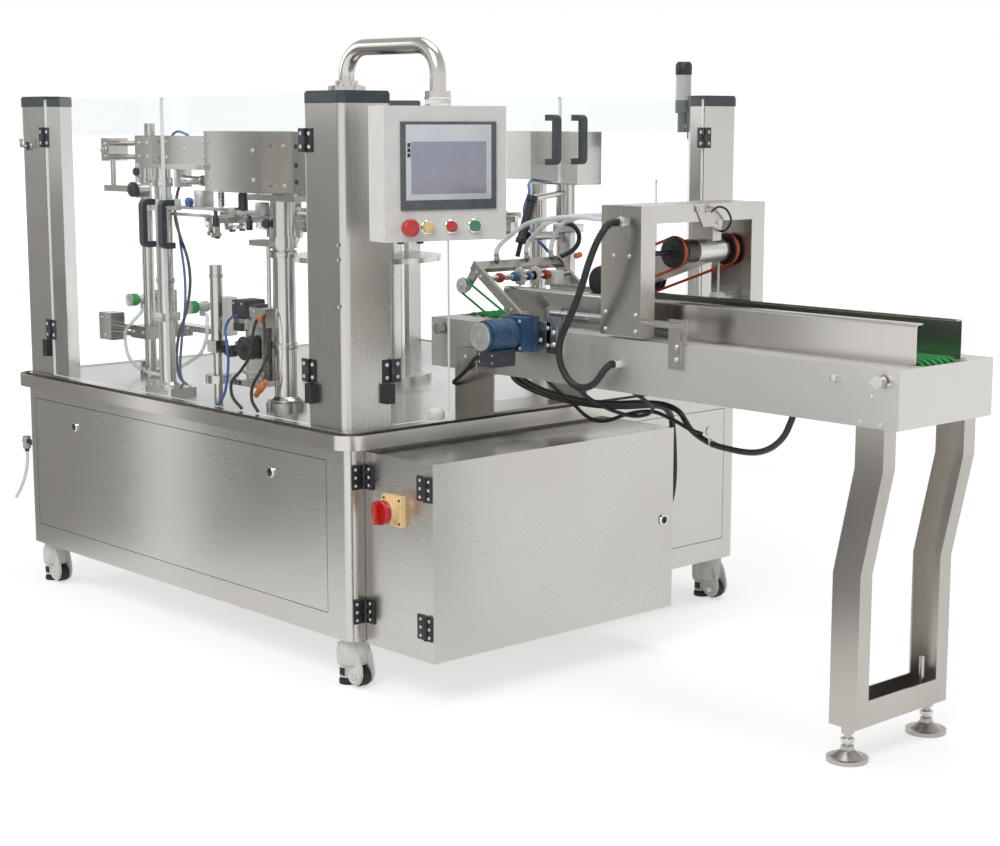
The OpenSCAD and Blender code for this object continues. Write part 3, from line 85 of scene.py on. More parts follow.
def soften(piece, edge, steps=2, angle=30):
    """Break the sharp edges by so many millimetres and shade the rest smooth."""
    if edge:
        rounding = piece.modifiers.new("edge", "BEVEL")
        rounding.width = edge / 1000
        rounding.segments = steps
        rounding.limit_method = "ANGLE"
        rounding.angle_limit = math.radians(angle)
        pick(piece)
        bpy.ops.object.modifier_apply(modifier="edge")
    pick(piece)
    bpy.ops.object.shade_smooth_by_angle(angle=math.radians(35))
    return piece


def block(x0, x1, y0, y1, z0, z1, edge=1.0, inset=None):
    """A milled block between two corners; inset = (face direction, border, depth) sinks a panel."""
    nothing_selected()
    bpy.ops.mesh.primitive_cube_add(
        size=1,
        location=at((x0 + x1) / 2, (y0 + y1) / 2, (z0 + z1) / 2),
        scale=(abs(x1 - x0) / 1000, abs(y1 - y0) / 1000, abs(z1 - z0) / 1000),
    )
    piece = bpy.context.object
    place_in_mesh(piece)
    if inset:
        direction, border, depth = inset
        sink(piece, direction, border, depth)
    return soften(piece, edge)


def faces_towards(piece, direction):
    """Select in edit mode the faces that look in a direction."""
    bpy.ops.object.mode_set(mode="OBJECT")
    look = Vector(direction)
    for polygon in piece.data.polygons:
        polygon.select = polygon.normal.dot(look) > 0.95
    for edge in piece.data.edges:
        edge.select = False
    for vertex in piece.data.vertices:
        vertex.select = False
    bpy.ops.object.mode_set(mode="EDIT")
    bpy.ops.mesh.select_mode(type="FACE")


def sink(piece, direction, border, depth):
    """Inset the faces that look in a direction and push the middle in (depth > 0) or out."""
    pick(piece)
    faces_towards(piece, direction)
    bpy.ops.mesh.inset(thickness=border / 1000, depth=0)
    bpy.ops.mesh.extrude_region_shrink_fatten(
        TRANSFORM_OT_shrink_fatten={"value": -depth / 1000}
    )
    bpy.ops.object.mode_set(mode="OBJECT")


def turned(x, y, z, axis, steps, sides=28, edge=0.0):
    """A lathe-turned piece. steps are (distance along the axis, radius) in millimetres."""
    nothing_selected()
    bpy.ops.mesh.primitive_circle_add(
        vertices=sides, radius=steps[0][1] / 1000, fill_type="NGON"
    )
    piece = bpy.context.object
    bpy.ops.object.mode_set(mode="EDIT")
    bpy.ops.mesh.select_all(action="SELECT")
    here = steps[0][0]
    radius = steps[0][1]
    if here:
        bpy.ops.transform.translate(value=(0, 0, here / 1000))
    for distance, wanted in steps[1:]:
        bpy.ops.mesh.extrude_region_move(
            TRANSFORM_OT_translate={"value": (0, 0, (distance - here) / 1000)}
        )
        ratio = wanted / radius
        bpy.ops.transform.resize(value=(ratio, ratio, 1), center_override=(0, 0, distance / 1000))
        here = distance
        radius = wanted
    bpy.ops.mesh.select_all(action="SELECT")
    bpy.ops.mesh.normals_make_consistent(inside=False)
    bpy.ops.object.mode_set(mode="OBJECT")
    piece.rotation_mode = "QUATERNION"
    piece.rotation_quaternion = Vector((0, 0, 1)).rotation_difference(Vector(axis))
    piece.location = at(x, y, z)
    place_in_mesh(piece)
    return soften(piece, edge)


def smooth_path(points, per_span=6):
    """Points in millimetres joined by a smooth curve through all of them, in metres."""
    p = [at(*q) for q in points]
    if len(p) < 3:
        return p
    path = []
    for i in range(len(p) - 1):
        before = p[max(i - 1, 0)]
        after = p[min(i + 2, len(p) - 1)]
        for k in range(per_span):
            t = k / per_span
            path.append(
                0.5
                * (
                    2 * p[i]
                    + (p[i + 1] - before) * t
                    + (2 * before - 5 * p[i] + 4 * p[i + 1] - after) * t * t
                    + (3 * p[i] - before - 3 * p[i + 1] + after) * t * t * t
                )
            )
    path.append(p[-1])
    return path


def drawn_tube(points, radius, bend=True, sides=5):
    """A tube or rod drawn along points, as a curve with closed ends."""
    path = smooth_path(points) if bend else [at(*q) for q in points]
    curve = bpy.data.curves.new("tube", "CURVE")
    curve.dimensions = "3D"
    spline = curve.splines.new("POLY")
    spline.points.add(len(path) - 1)
    for point, place in zip(spline.points, path):
        point.co = (*place, 1)
    curve.bevel_depth = radius / 1000
    curve.bevel_resolution = sides
    curve.use_fill_caps = True
    piece = bpy.data.objects.new("tube", curve)
    bpy.context.scene.collection.objects.link(piece)
    return piece, path


def rod(points, radius, bend=True):
    """A bent rod or hard tube, made a mesh."""
    piece, _ = drawn_tube(points, radius, bend)
    pick(piece)
    bpy.ops.object.convert(target="MESH")
    piece = bpy.context.object
    bpy.ops.object.shade_smooth_by_angle(angle=math.radians(50))
    return piece


def copies(piece, shifts):
    """The piece itself and a copy of it at each shift (dx, dy, dz) in millimetres."""
    made = [piece]
    for dx, dy, dz in shifts:
        again = piece.copy()
        again.data = piece.data.copy()
        bpy.context.scene.collection.objects.link(again)
        again.data.transform(Matrix.Translation((dx / 1000, dy / 1000, dz / 1000)))
        made.append(again)
    return made


def joined(pieces):
    pick(*pieces)
    if len(pieces) > 1:
        bpy.ops.object.join()
    return bpy.context.object


def fit(name, pieces, body, finish):
    """Join the pieces under one name, finish them and let them ride on a body."""
    piece = joined(pieces if isinstance(pieces, list) else [pieces])
    piece.name = name
    piece.data.name = name
    piece.data.materials.clear()
    piece.data.materials.append(finish)
    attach(piece, body)
    return piece


# Finishes


def paint(code):
    """sRGB hex to the linear colour that the shader wants."""
    parts = [int(code[i : i + 2], 16) / 255 for i in (1, 3, 5)]
    return tuple(c / 12.92 if c <= 0.04045 else ((c + 0.055) / 1.055) ** 2.4 for c in parts) + (1,)


def add(tree, kind, values=None, links=None, **settings):
    """Add a node with its settings, its values and its links."""
    node = tree.nodes.new(kind)
    for name, value in settings.items():
        setattr(node, name, value)
    for name, value in (values or {}).items():
        node.inputs[name].default_value = value
    for name, source in (links or {}).items():
        tree.links.new(source, node.inputs[name])
    return node


def new_finish(name):
    finish = bpy.data.materials.new(name)
    finish.use_nodes = True
    finish.node_tree.nodes.clear()
    return finish, finish.node_tree


def close(tree, shader):
    add(tree, "ShaderNodeOutputMaterial", links={"Surface": shader})


def grain(tree, size_mm, detail=3.0, stretch=(1, 1, 1)):
    """Noise whose features are size_mm across, stretched along an axis by a share."""
    place = add(tree, "ShaderNodeTexCoord")
    k = 1000 / size_mm
    turn = add(
        tree,
        "ShaderNodeMapping",
        {"Scale": (k * stretch[0], k * stretch[1], k * stretch[2])},
        {"Vector": place.outputs["Object"]},
    )
    return add(
        tree, "ShaderNodeTexNoise", {"Scale": 1.0, "Detail": detail}, {"Vector": turn.outputs["Vector"]}
    ).outputs["Fac"]


def between(tree, fac, low, high):
    return add(
        tree, "ShaderNodeMapRange", {"From Min": 0.3, "From Max": 0.7, "To Min": low, "To Max": high}, {"Value": fac}
    ).outputs["Result"]


def blend_of(tree, fac, first, second):
    mix = add(tree, "ShaderNodeMix", {6: paint(first), 7: paint(second)}, {0: fac}, data_type="RGBA")
    return mix.outputs[2]


def brushed_stainless(name, light, dark, rough, wave, line, wave_depth=0.35, smear=0.6):
    """Cold-rolled stainless sheet, belt-brushed: wave is the sheet's buckling as (size in mm,
    stretch), line is the direction of the brush lines, drawn 5 mm apart so that they show, and
    smear draws the reflections out upwards, across the lines."""
    finish, tree = new_finish(name)
    lines = grain(tree, 5.0, 1.0, line)
    cloud = grain(tree, 420.0, 2.0)
    round_z = add(tree, "ShaderNodeTangent", direction_type="RADIAL", axis="Z")
    colour = blend_of(tree, between(tree, cloud, 0.0, 1.0), dark, light)
    roughness = add(
        tree,
        "ShaderNodeMath",
        {},
        {0: between(tree, lines, rough - 0.006, rough + 0.006), 1: between(tree, cloud, -0.02, 0.02)},
        operation="ADD",
    ).outputs["Value"]
    buckle = add(
        tree,
        "ShaderNodeBump",
        {"Strength": wave_depth, "Distance": 0.004},
        {"Height": grain(tree, wave[0], 1.0, wave[1])},
    )
    fine = add(
        tree,
        "ShaderNodeBump",
        {"Strength": 0.004, "Distance": 0.0001},
        {"Height": lines, "Normal": buckle.outputs["Normal"]},
    )
    shader = add(
        tree,
        "ShaderNodeBsdfPrincipled",
        {"Metallic": 1.0, "Anisotropic": smear, "Anisotropic Rotation": 0.25},
        {
            "Base Color": colour,
            "Roughness": roughness,
            "Normal": fine.outputs["Normal"],
            "Tangent": round_z.outputs["Tangent"],
        },
    )
    close(tree, shader.outputs["BSDF"])
    return finish


ALONG_X = (0.03, 1, 1)
ALONG_Z = (1, 1, 0.03)
# Large skins: the brush runs along the sheet, and the sheet buckles slightly between welds
skin_steel = brushed_stainless("brushed_stainless_skin", "#C6C4BF", "#C0BDB8", 0.27, (330.0, (1, 1, 0.2)), ALONG_X, 0.18, 0.6)
# Folded posts and covers: brushed upwards
post_steel = brushed_stainless("brushed_stainless_post", "#C2C0BB", "#B8B5B0", 0.27, (90.0, (1, 1, 0.10)), ALONG_Z, 0.10, 0.4)
# Table and conveyor: brushed along the machine
table_steel = brushed_stainless("brushed_stainless_table", "#C6C3BE", "#B8B5B0", 0.22, (260.0, (0.3, 1, 1)), ALONG_X, 0.15, 0.4)
# Conveyor beam: duller, and its colour painted lighter than the table's steel to offset the dark reflection of the
# shaded post; brushed along its length
beam_steel = brushed_stainless("brushed_stainless_beam", "#D4D2CD", "#CAC8C3", 0.45, (260.0, (0.3, 1, 1)), ALONG_X, 0.1, 0.3)
# Legs and brackets of bent plate
plate_steel = brushed_stainless("brushed_stainless_plate", "#BDB9B3", "#ADA9A2", 0.30, (140.0, (1, 1, 0.3)), ALONG_Z, 0.1, 0.3)
# Turned and polished shafts, collars and tubes: nearly a mirror
bright_steel = brushed_stainless("polished_stainless_tube", "#C6C3BE", "#B6B2AD", 0.18, (60.0, (1, 1, 0.2)), ALONG_Z, 0.0, 0.0)
# Milled aluminium blocks and cylinders: paler and duller
milled_aluminium = brushed_stainless("anodised_aluminium", "#DADAD8", "#C4C5C4", 0.34, (30.0, (1, 1, 1)), ALONG_X, 0.05, 0.0)


def moulded(name, light, dark, rough, size_mm=6.0, bump=0.06, coat=0.0, metallic=0.0, ior=1.5):
    """Moulded or painted surface: colour drifts a little, and a fine grain breaks the shine."""
    finish, tree = new_finish(name)
    cloud = grain(tree, size_mm * 12, 3.0)
    spark = grain(tree, size_mm, 4.0)
    colour = blend_of(tree, between(tree, cloud, 0.0, 1.0), dark, light)
    relief = add(tree, "ShaderNodeBump", {"Strength": bump, "Distance": 0.0004}, {"Height": spark})
    shader = add(
        tree,
        "ShaderNodeBsdfPrincipled",
        {"Metallic": metallic, "Coat Weight": coat, "IOR": ior},
        {
            "Base Color": colour,
            "Roughness": between(tree, spark, rough - 0.05, rough + 0.05),
            "Normal": relief.outputs["Normal"],
        },
    )
    close(tree, shader.outputs["BSDF"])
    return finish


# Slate-grey nylon caps and handles: moulded with a fine texture
slate_nylon = moulded("slate_nylon", "#3A4448", "#2C3438", 0.42, 2.0)
# Black hinges and fittings of glass-filled nylon
black_nylon = moulded("black_nylon", "#232526", "#17191A", 0.45, 2.0)
# Zinc-plated screw heads: small and bright
zinc_screw = moulded("zinc_plated_screw", "#DCDCD8", "#BEBFBC", 0.28, 1.0, 0.03, metallic=1.0)
# Pale grey powder coat of the panel's case: slight orange peel
powder_grey = moulded("powder_coat_pale_grey", "#E4E3E0", "#DCDBD8", 0.38, 3.0, 0.05)
bezel_grey = moulded("moulded_abs_grey", "#5A5F63", "#4B5054", 0.40, 1.5)
screen_glass = moulded("touch_screen_glass", "#9A9CAC", "#9496A6", 0.16, 4.0, 0.0, coat=0.5)
screen_bar = moulded("touch_screen_bar", "#D3D6DB", "#CBCFD5", 0.18, 4.0, 0.0, coat=0.5)
yellow_abs = moulded("moulded_abs_yellow", "#F6D9A6", "#F0CD92", 0.32, 1.5)
red_abs = moulded("moulded_abs_red", "#C9221F", "#B81A1A", 0.26, 1.5, coat=0.4)
cream_abs = moulded("moulded_abs_cream", "#E8D08A", "#DFC67C", 0.28, 1.5, coat=0.4)
green_abs = moulded("moulded_abs_green", "#2E8A56", "#247A4A", 0.28, 1.5, coat=0.4)
chrome_ring = moulded("chrome_plated_ring", "#E6E6E4", "#D6D6D3", 0.10, 2.0, 0.0, metallic=1.0)
blue_enamel = moulded("blue_motor_enamel", "#2F5578", "#284A6A", 0.38, 1.5, 0.10, coat=0.2)
dark_cast = moulded("dark_cast_housing", "#3B4046", "#2C3035", 0.48, 1.2, 0.18)
white_nylon = moulded("white_nylon_housing", "#E4E2DE", "#D6D4CF", 0.36, 2.0)
grey_abs = moulded("lamp_housing_grey", "#6B6E70", "#5C5F61", 0.38, 2.0)
tyre_rubber = moulded("black_tyre_rubber", "#1D1D1D", "#121212", 0.62, 1.0, 0.2)
cable_rubber = moulded("black_cable_rubber", "#1F1F20", "#141415", 0.46, 1.0, 0.08)
# Round belts of rough polyurethane
green_belt = moulded("green_polyurethane_belt", "#1F9B4C", "#17803D", 0.58, 1.2, 0.35)
orange_belt = moulded("orange_polyurethane_belt", "#E2552A", "#D1481F", 0.42, 1.2, 0.15)
green_silicone = moulded("green_silicone_cup", "#22B04C", "#1AA044", 0.50, 1.5, 0.1)
blue_tube = moulded("blue_polyurethane_tube", "#2F62B0", "#27549B", 0.25, 2.0, coat=0.3)
orange_plug = moulded("orange_connector", "#E07A2C", "#CF6B20", 0.36, 1.5)
red_plug = moulded("red_connector", "#B23A33", "#A23029", 0.36, 1.5)
device_grey = moulded("switchgear_grey", "#B9BAB7", "#A6A7A4", 0.42, 2.0)
# The press drum: dark oxide on steel, worn bright in rings
dark_drum = moulded("burnished_dark_steel", "#6A5D57", "#4A4340", 0.30, 3.0, 0.1, metallic=0.9)


def clear_sheet(name, thin_axis):
    """Cast acrylic: almost nothing face on, and a painted highlight along its polished edges, which
    are an opaque pale surface in place of the light that they catch. Z is for panes that stand
    both ways, of which only the level edges are told from the faces."""
    finish, tree = new_finish(name)
    place = add(tree, "ShaderNodeTexCoord")
    side = add(tree, "ShaderNodeSeparateXYZ", links={"Vector": place.outputs["Normal"]})
    face_on = add(tree, "ShaderNodeMath", links={0: side.outputs[thin_axis]}, operation="ABSOLUTE")
    rule = "GREATER_THAN" if thin_axis == "Z" else "LESS_THAN"
    is_edge = add(tree, "ShaderNodeMath", {1: 0.5}, {0: face_on.outputs["Value"]}, operation=rule)
    smear = grain(tree, 220.0, 3.0)
    see_through = add(tree, "ShaderNodeBsdfTransparent", {"Color": paint("#FEFFFF")})
    shine = add(
        tree,
        "ShaderNodeBsdfGlossy",
        {"Color": (1, 1, 1, 1)},
        {"Roughness": between(tree, smear, 0.02, 0.07)},
    )
    slant = add(tree, "ShaderNodeLayerWeight", {"Blend": 0.5})
    steep = add(tree, "ShaderNodeMath", {1: 4.0}, {0: slant.outputs["Facing"]}, operation="POWER")
    mirror = add(tree, "ShaderNodeMath", {1: 0.25, 2: 0.015}, {0: steep.outputs["Value"]}, operation="MULTIPLY_ADD")
    face = add(
        tree,
        "ShaderNodeMixShader",
        links={0: mirror.outputs["Value"], 1: see_through.outputs["BSDF"], 2: shine.outputs["BSDF"]},
    )
    # Painted highlight: the edges are opaque pale, standing in for the light that polished acrylic edges catch
    rim = add(tree, "ShaderNodeBsdfPrincipled", {"Base Color": paint("#EEF3F1"), "Roughness": 0.3})
    whole = add(
        tree,
        "ShaderNodeMixShader",
        links={0: is_edge.outputs["Value"], 1: face.outputs["Shader"], 2: rim.outputs["BSDF"]},
    )
    close(tree, whole.outputs["Shader"])
    return finish


acrylic_front = clear_sheet("cast_acrylic_front", "Y")
acrylic_side = clear_sheet("cast_acrylic_side", "X")
acrylic_fixed = clear_sheet("cast_acrylic_fixed", "Z")


def clear_plastic(name, colour, rough, share):
    """Thin translucent tube or lens: a share of it is seen through."""
    finish, tree = new_finish(name)
    body = add(
        tree,
        "ShaderNodeBsdfPrincipled",
        {"Base Color": paint(colour), "IOR": 1.49, "Coat Weight": 0.3},
        {"Roughness": between(tree, grain(tree, 8.0), rough - 0.04, rough + 0.06)},
    )
    gap = add(tree, "ShaderNodeBsdfTransparent", {"Color": (1, 1, 1, 1)})
    whole = add(
        tree, "ShaderNodeMixShader", {0: share}, {1: body.outputs["BSDF"], 2: gap.outputs["BSDF"]}
    )
    close(tree, whole.outputs["Shader"])
    return finish


clear_hose = clear_plastic("translucent_polyurethane_tube", "#E4E9EA", 0.18, 0.35)
lamp_lens = clear_plastic("ribbed_lamp_lens", "#D9DBD8", 0.12, 0.30)

# Cords: the routes are those of their solids, in millimetres


def evenly(path, step):
    """Points on a path so many millimetres apart."""
    made = [path[0]]
    left = step / 1000
    for a, b in zip(path, path[1:]):
        here = 0.0
        span = (b - a).length
        while span - here >= left:
            here += left
            made.append(a.lerp(b, here / span))
            left = step / 1000
        left -= span - here
    if (made[-1] - path[-1]).length > step / 2500:
        made.append(path[-1])
    return made


def cord(name, points, radius, node, finish, rib=0.0):
    """A cord that replaces its solid; rib is the pitch of a corrugated conduit's rings."""
    piece, path = drawn_tube(points, radius)
    if rib:
        path = evenly(path, rib / 2)
        spline = piece.data.splines[0]
        spline.points.add(len(path) - len(spline.points))
        for i, (point, place) in enumerate(zip(spline.points, path)):
            point.co = (*place, 1)
            point.radius = 1.0 if i % 2 else 0.76
    piece.name = name
    piece.data.name = name
    piece.data.materials.append(finish)
    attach(piece, "machine")
    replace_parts(piece, node)
    return piece


BEAM_Y = 453
conduit_route = [
    (435, -27, 1094), (435, -49, 1094), (430, -65, 1080), (416, -76, 1048), (398, -81, 1004), (378, -81, 955),
    (352, -79, 905), (325, -77, 862), (304, -75, 826), (297, -73, 790), (305, -69, 756), (327, -63, 728),
    (356, -56, 718), (384, -46, 730), (402, -33, 760), (412, -23, 774), (412, -12, 774),
]
bundle_route = [
    (34, 478, 735), (34, 478, 712), (44, 490, 692), (76, 520, 670), (116, 560, 652), (154, 604, 640),
    (188, 650, 633), (214, 702, 630), (232, 756, 629), (232, 806, 618), (222, 842, 590), (216, 856, 550),
    (218, 858, 505), (220, 858, 460), (218, 858, 415), (208, 858, 372), (184, 858, 334), (148, 858, 314),
    (108, 856, 318), (76, 854, 346), (56, 852, 386), (44, 851, 426), (34, 850, 458), (26, 850, 470), (14, 850, 470),
]
loop_route = [
    (56, 478, 735), (56, 478, 712), (68, 496, 692), (100, 524, 672), (142, 564, 656), (180, 608, 645),
    (214, 656, 641), (244, 706, 641), (286, 742, 638), (338, 740, 628), (392, 706, 614), (446, 668, 602),
    (506, 636, 594), (570, 606, 590), (634, 580, 592), (700, 556, 596), (762, 532, 606), (818, 510, 626),
    (862, 494, 656), (888, 484, 690), (900, 478, 712), (900, 478, 735),
]
hose_route = [(0, 0, -30), (0, 0, -52), (-3, -3, -84), (-9, -9, -114), (-17, -17, -142), (-27, -27, -168)]
cord(
    "black_conduit", [(x, y + BEAM_Y, z) for x, y, z in conduit_route], 9, "portal_conduit", cable_rubber, 7
)
cord("box_cable", bundle_route, 8, "bundle_cable", cable_rubber)
cord("tail_cable", loop_route, 7, "loop_cable", cable_rubber)
HANK_ROUTES = (
    [(150, 478, 735), (150, 478, 714), (146, 502, 694), (140, 542, 668), (138, 580, 642), (150, 602, 616), (176, 610, 602),
     (211, 610, 602), (250, 606, 612), (286, 604, 625), (340, 604, 640), (390, 606, 644), (440, 614, 630), (480, 626, 612), (506, 640, 603)],
    [(240, 478, 735), (240, 478, 714), (242, 500, 692), (250, 536, 664), (276, 574, 640), (318, 600, 628), (362, 606, 636),
     (394, 590, 656), (404, 552, 680), (398, 512, 704), (392, 486, 722), (390, 478, 735)],
)
for i, route in enumerate(HANK_ROUTES, 1):
    piece, path = drawn_tube(route, 4.5)
    piece.name = f"hank_cable_{i}"
    piece.data.name = piece.name
    piece.data.materials.append(cable_rubber)
    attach(piece, "machine")
cord(
    "stub_hose", [(-1550 + x, 20 + y, 402 + z) for x, y, z in hose_route], 5, "air_hose", clear_hose
)

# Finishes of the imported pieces


def dress(finish, *names):
    for name in names:
        mesh = nodes[name].data
        mesh.materials.clear()
        mesh.materials.append(finish)


dress(skin_steel, "cabinet_frame", "front_access_panel", "side_access_panel", "ebox_shell", "ebox_door")
dress(table_steel, "table_tray", "guide_rails", "pickup_arm")
dress(beam_steel, "conveyor_beam")
dress(post_steel, "guard_posts", "portal_frame")
dress(plate_steel, "conveyor_stands", "press_frame")
dress(bright_steel, "hmi_arm", "station_frames", "turret_column", "turret_disc", "gripper_arms", "drive_roller", "tail_roller")
dress(slate_nylon, "post_caps", "front_left_fittings", "front_right_fittings", "side_left_fittings", "side_right_fittings")
dress(black_nylon, "guard_fittings", "press_roller_top", "press_roller_low")
dress(acrylic_front, "front_door_left", "front_door_right")
dress(acrylic_side, "side_door_left", "side_door_right")
dress(acrylic_fixed, "fixed_guards")
dress(powder_grey, "hmi_case")
dress(bezel_grey, "hmi_screen")
dress(red_abs, "stop_mushroom", "red_button", "mains_switch_knob")
dress(cream_abs, "yellow_button")
dress(green_abs, "green_button")
dress(yellow_abs, "mains_switch_base")
dress(blue_enamel, "gearmotor")
dress(green_belt, "conveyor_belts")
dress(orange_belt, "press_belts")
dress(green_silicone, "suction_arms")
dress(device_grey, "ebox_plate")
dress(grey_abs, "lamp_body")
dress(lamp_lens, "lamp_lens")
dress(cable_rubber, "portal_conduit", "bundle_cable", "loop_cable")
dress(clear_hose, "air_hose")
for i in range(1, 5):
    dress(white_nylon, f"caster_{i}")
    dress(tyre_rubber, f"caster_wheel_{i}")


def settle_edges(name, width):
    """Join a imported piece's loose triangles for show and break its sharp edges."""
    piece = nodes[name]
    merge = piece.modifiers.new("merge", "WELD")
    merge.merge_threshold = 0.00002
    rounding = piece.modifiers.new("edge", "BEVEL")
    rounding.width = width / 1000
    rounding.segments = 2
    rounding.limit_method = "ANGLE"
    rounding.angle_limit = math.radians(40)
    rounding.harden_normals = False
    rounding.use_clamp_overlap = True


# Room, lights and floor

world = bpy.data.worlds.new("studio")
bpy.context.scene.world = world
world.use_nodes = True
room = world.node_tree
room.nodes.clear()
look = add(room, "ShaderNodeTexCoord")
height = add(room, "ShaderNodeSeparateXYZ", links={"Vector": look.outputs["Generated"]})
shade = add(
    room,
    "ShaderNodeMapRange",
    {"From Min": 0.05, "From Max": 0.85, "To Min": 1.0, "To Max": 0.55},
    {"Value": height.outputs["Z"]},
)
ray = add(room, "ShaderNodeLightPath")
seen = add(
    room,
    "ShaderNodeMath",
    links={0: ray.outputs["Is Camera Ray"], 1: ray.outputs["Is Transmission Ray"]},
    operation="MAXIMUM",
)
seen_too = add(room, "ShaderNodeMath", links={0: seen.outputs[0], 1: ray.outputs["Is Glossy Ray"]}, operation="MAXIMUM")
strength = add(room, "ShaderNodeMix", {2: 0.62, 3: 1.0}, {0: seen_too.outputs[0]}, data_type="FLOAT")
total = add(room, "ShaderNodeMath", links={0: strength.outputs[0], 1: shade.outputs["Result"]}, operation="MULTIPLY")
background = add(room, "ShaderNodeBackground", {"Color": (1, 1, 1, 1)}, {"Strength": total.outputs[0]})
add(room, "ShaderNodeOutputWorld", links={"Surface": background.outputs["Background"]})

floor_paint, tree = new_finish("white_floor")
ray = add(tree, "ShaderNodeLightPath")
seen = add(
    tree,
    "ShaderNodeMath",
    links={0: ray.outputs["Is Camera Ray"], 1: ray.outputs["Is Glossy Ray"]},
    operation="MAXIMUM",
)
seen_too = add(tree, "ShaderNodeMath", links={0: seen.outputs[0], 1: ray.outputs["Is Transmission Ray"]}, operation="MAXIMUM")
matt = add(tree, "ShaderNodeBsdfDiffuse", {"Color": (0.62, 0.62, 0.62, 1)})
spot = add(tree, "ShaderNodeTexCoord")
away = add(tree, "ShaderNodeVectorMath", links={0: spot.outputs["Object"]}, operation="LENGTH")
rise = add(
    tree,
    "ShaderNodeMapRange",
    {"From Min": 2.6, "From Max": 7.0, "To Min": 0.55, "To Max": 1.05},
    {"Value": away.outputs["Value"]},
)
glow = add(tree, "ShaderNodeEmission", {"Color": (1, 1, 1, 1)}, {"Strength": rise.outputs["Result"]})
both = add(tree, "ShaderNodeAddShader", links={0: matt.outputs[0], 1: glow.outputs[0]})
whole = add(tree, "ShaderNodeMixShader", links={0: seen_too.outputs[0], 1: matt.outputs[0], 2: both.outputs[0]})
close(tree, whole.outputs[0])
nothing_selected()
bpy.ops.mesh.primitive_plane_add(size=400, location=(0, 0, 0))
floor = bpy.context.object
floor.name = "floor"
floor.data.materials.append(floor_paint)
place_in_mesh(floor)

# Grey flags that only reflections see: the steel mirrors them, with a bright gap between
for name, x, y, width, high, tone in (
    ("flag_left", -1.589, -0.908, 0.55, 1.5, 0.72),
    ("flag_right", -0.904, -1.664, 1.21, 1.5, 0.50),
    ("flag_near", 0.644, -0.963, 0.65, 0.55, 0.36),
):
    flag_cloth, tree = new_finish(name + "_cloth")
    close(tree, add(tree, "ShaderNodeBsdfDiffuse", {"Color": (tone, tone * 0.99, tone * 0.98, 1)}).outputs[0])
    nothing_selected()
    bpy.ops.mesh.primitive_plane_add(
        size=1,
        location=(x, y, high / 2),
        rotation=(math.radians(90), 0, math.radians(-47.8)),
    )
    flag = bpy.context.object
    flag.scale = (width, high, 1)
    flag.name = name
    flag.data.materials.append(flag_cloth)
    place_in_mesh(flag)
    flag.visible_camera = False
    flag.visible_diffuse = False
    flag.visible_shadow = False
    flag.visible_transmission = False


def soft_lamp(name, x, y, z, aim, size, watts):
    bpy.ops.object.light_add(type="AREA", location=(x, y, z))
    lamp = bpy.context.object
    lamp.name = name
    lamp.data.energy = watts
    lamp.data.size = size
    lamp.rotation_mode = "QUATERNION"
    lamp.rotation_quaternion = (Vector(aim) - Vector((x, y, z))).to_track_quat("-Z", "Y")
    return lamp


soft_lamp("key", 2.5, -4.5, 4.5, (0, 0, 0.7), 3.0, 150)
soft_lamp("fill", -4.5, -3.5, 3.0, (0, 0, 0.7), 3.0, 60)
soft_lamp("top", 0.3, 0.5, 4.5, (0, 0, 0.7), 2.5, 70)
bpy.context.scene.view_settings.view_transform = "Standard"

# Fasteners and small helpers for the pieces


def screw(x, y, z, axis, r=4.0, h=3.0, sides=16):
    """A socket-head screw whose head stands h out of the face at (x, y, z)."""
    steps = [(0, r), (h * 0.75, r), (h, r * 0.82), (h, r * 0.48), (h * 0.45, r * 0.42)]
    return turned(x, y, z, axis, steps, sides)


def screws(name, places, axis, body, r=4.0, h=3.0, finish=None, sides=16):
    x, y, z = places[0]
    one = screw(x, y, z, axis, r, h, sides)
    made = copies(one, [(a - x, b - y, c - z) for a, b, c in places[1:]])
    return fit(name, made, body, finish or zinc_screw)


def swing(piece, x, y, degrees):
    """Turn a piece's mesh about an upright axis at (x, y)."""
    pivot = at(x, y, 0)
    turn = Matrix.Rotation(math.radians(degrees), 4, "Z")
    piece.data.transform(Matrix.Translation(pivot) @ turn @ Matrix.Translation(-pivot))
    return piece


def hose(name, points, radius, body, finish, exit_at=0):
    """A tube drawn along a smooth curve through the points."""
    piece, path = drawn_tube(points, radius)
    piece.name = name
    piece.data.name = name
    piece.data.materials.append(finish)
    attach(piece, body)
    return piece


# Operator panel: bezel, display, keys' rings. Local x is the face's normal

HMI_X, HMI_Y, HMI_Z, HMI_TURN = 208.43, 95.79, 1349.0, -12.2


def on_panel(piece):
    return swing(piece, HMI_X, HMI_Y, HMI_TURN)


def panel_block(x0, x1, y0, y1, z0, z1, edge=0.6, inset=None):
    return on_panel(
        block(HMI_X + x0, HMI_X + x1, HMI_Y + y0, HMI_Y + y1, HMI_Z + z0, HMI_Z + z1, edge, inset)
    )


rim = panel_block(37.5, 42.5, -112.5, 122.5, -222.5, -33.5, 1.2)
fit("hmi_bezel", rim, "panel", bezel_grey)
fit("hmi_screen_frame", panel_block(41, 43.6, -101, 109, -201, -40, 0.8), "panel", screen_bar)
fit("hmi_display", panel_block(43, 44.2, -89, 96, -188, -76, 0.3), "panel", screen_glass)
usb = [panel_block(43, 44.6, -98, -91, -87 - 11 * i, -79 - 11 * i, 0.5) for i in range(3)]
fit("hmi_side_keys", usb, "panel", black_nylon)
rings = []
for y in (-98, -50, 8, 66):
    ring = turned(HMI_X + 37.5, HMI_Y + y, HMI_Z - 259, (1, 0, 0), [(0, 15.5), (6, 15.5), (7.4, 14.2), (7.4, 12.6), (4, 12.4)], 32)
    rings.append(on_panel(ring))
fit("hmi_button_rings", rings, "panel", chrome_ring)
cap = on_panel(turned(HMI_X + 61.5, HMI_Y - 98, HMI_Z - 259, (1, 0, 0), [(0, 19), (1.5, 18.6), (3.5, 16.5), (4.8, 12), (5.3, 5)], 36))
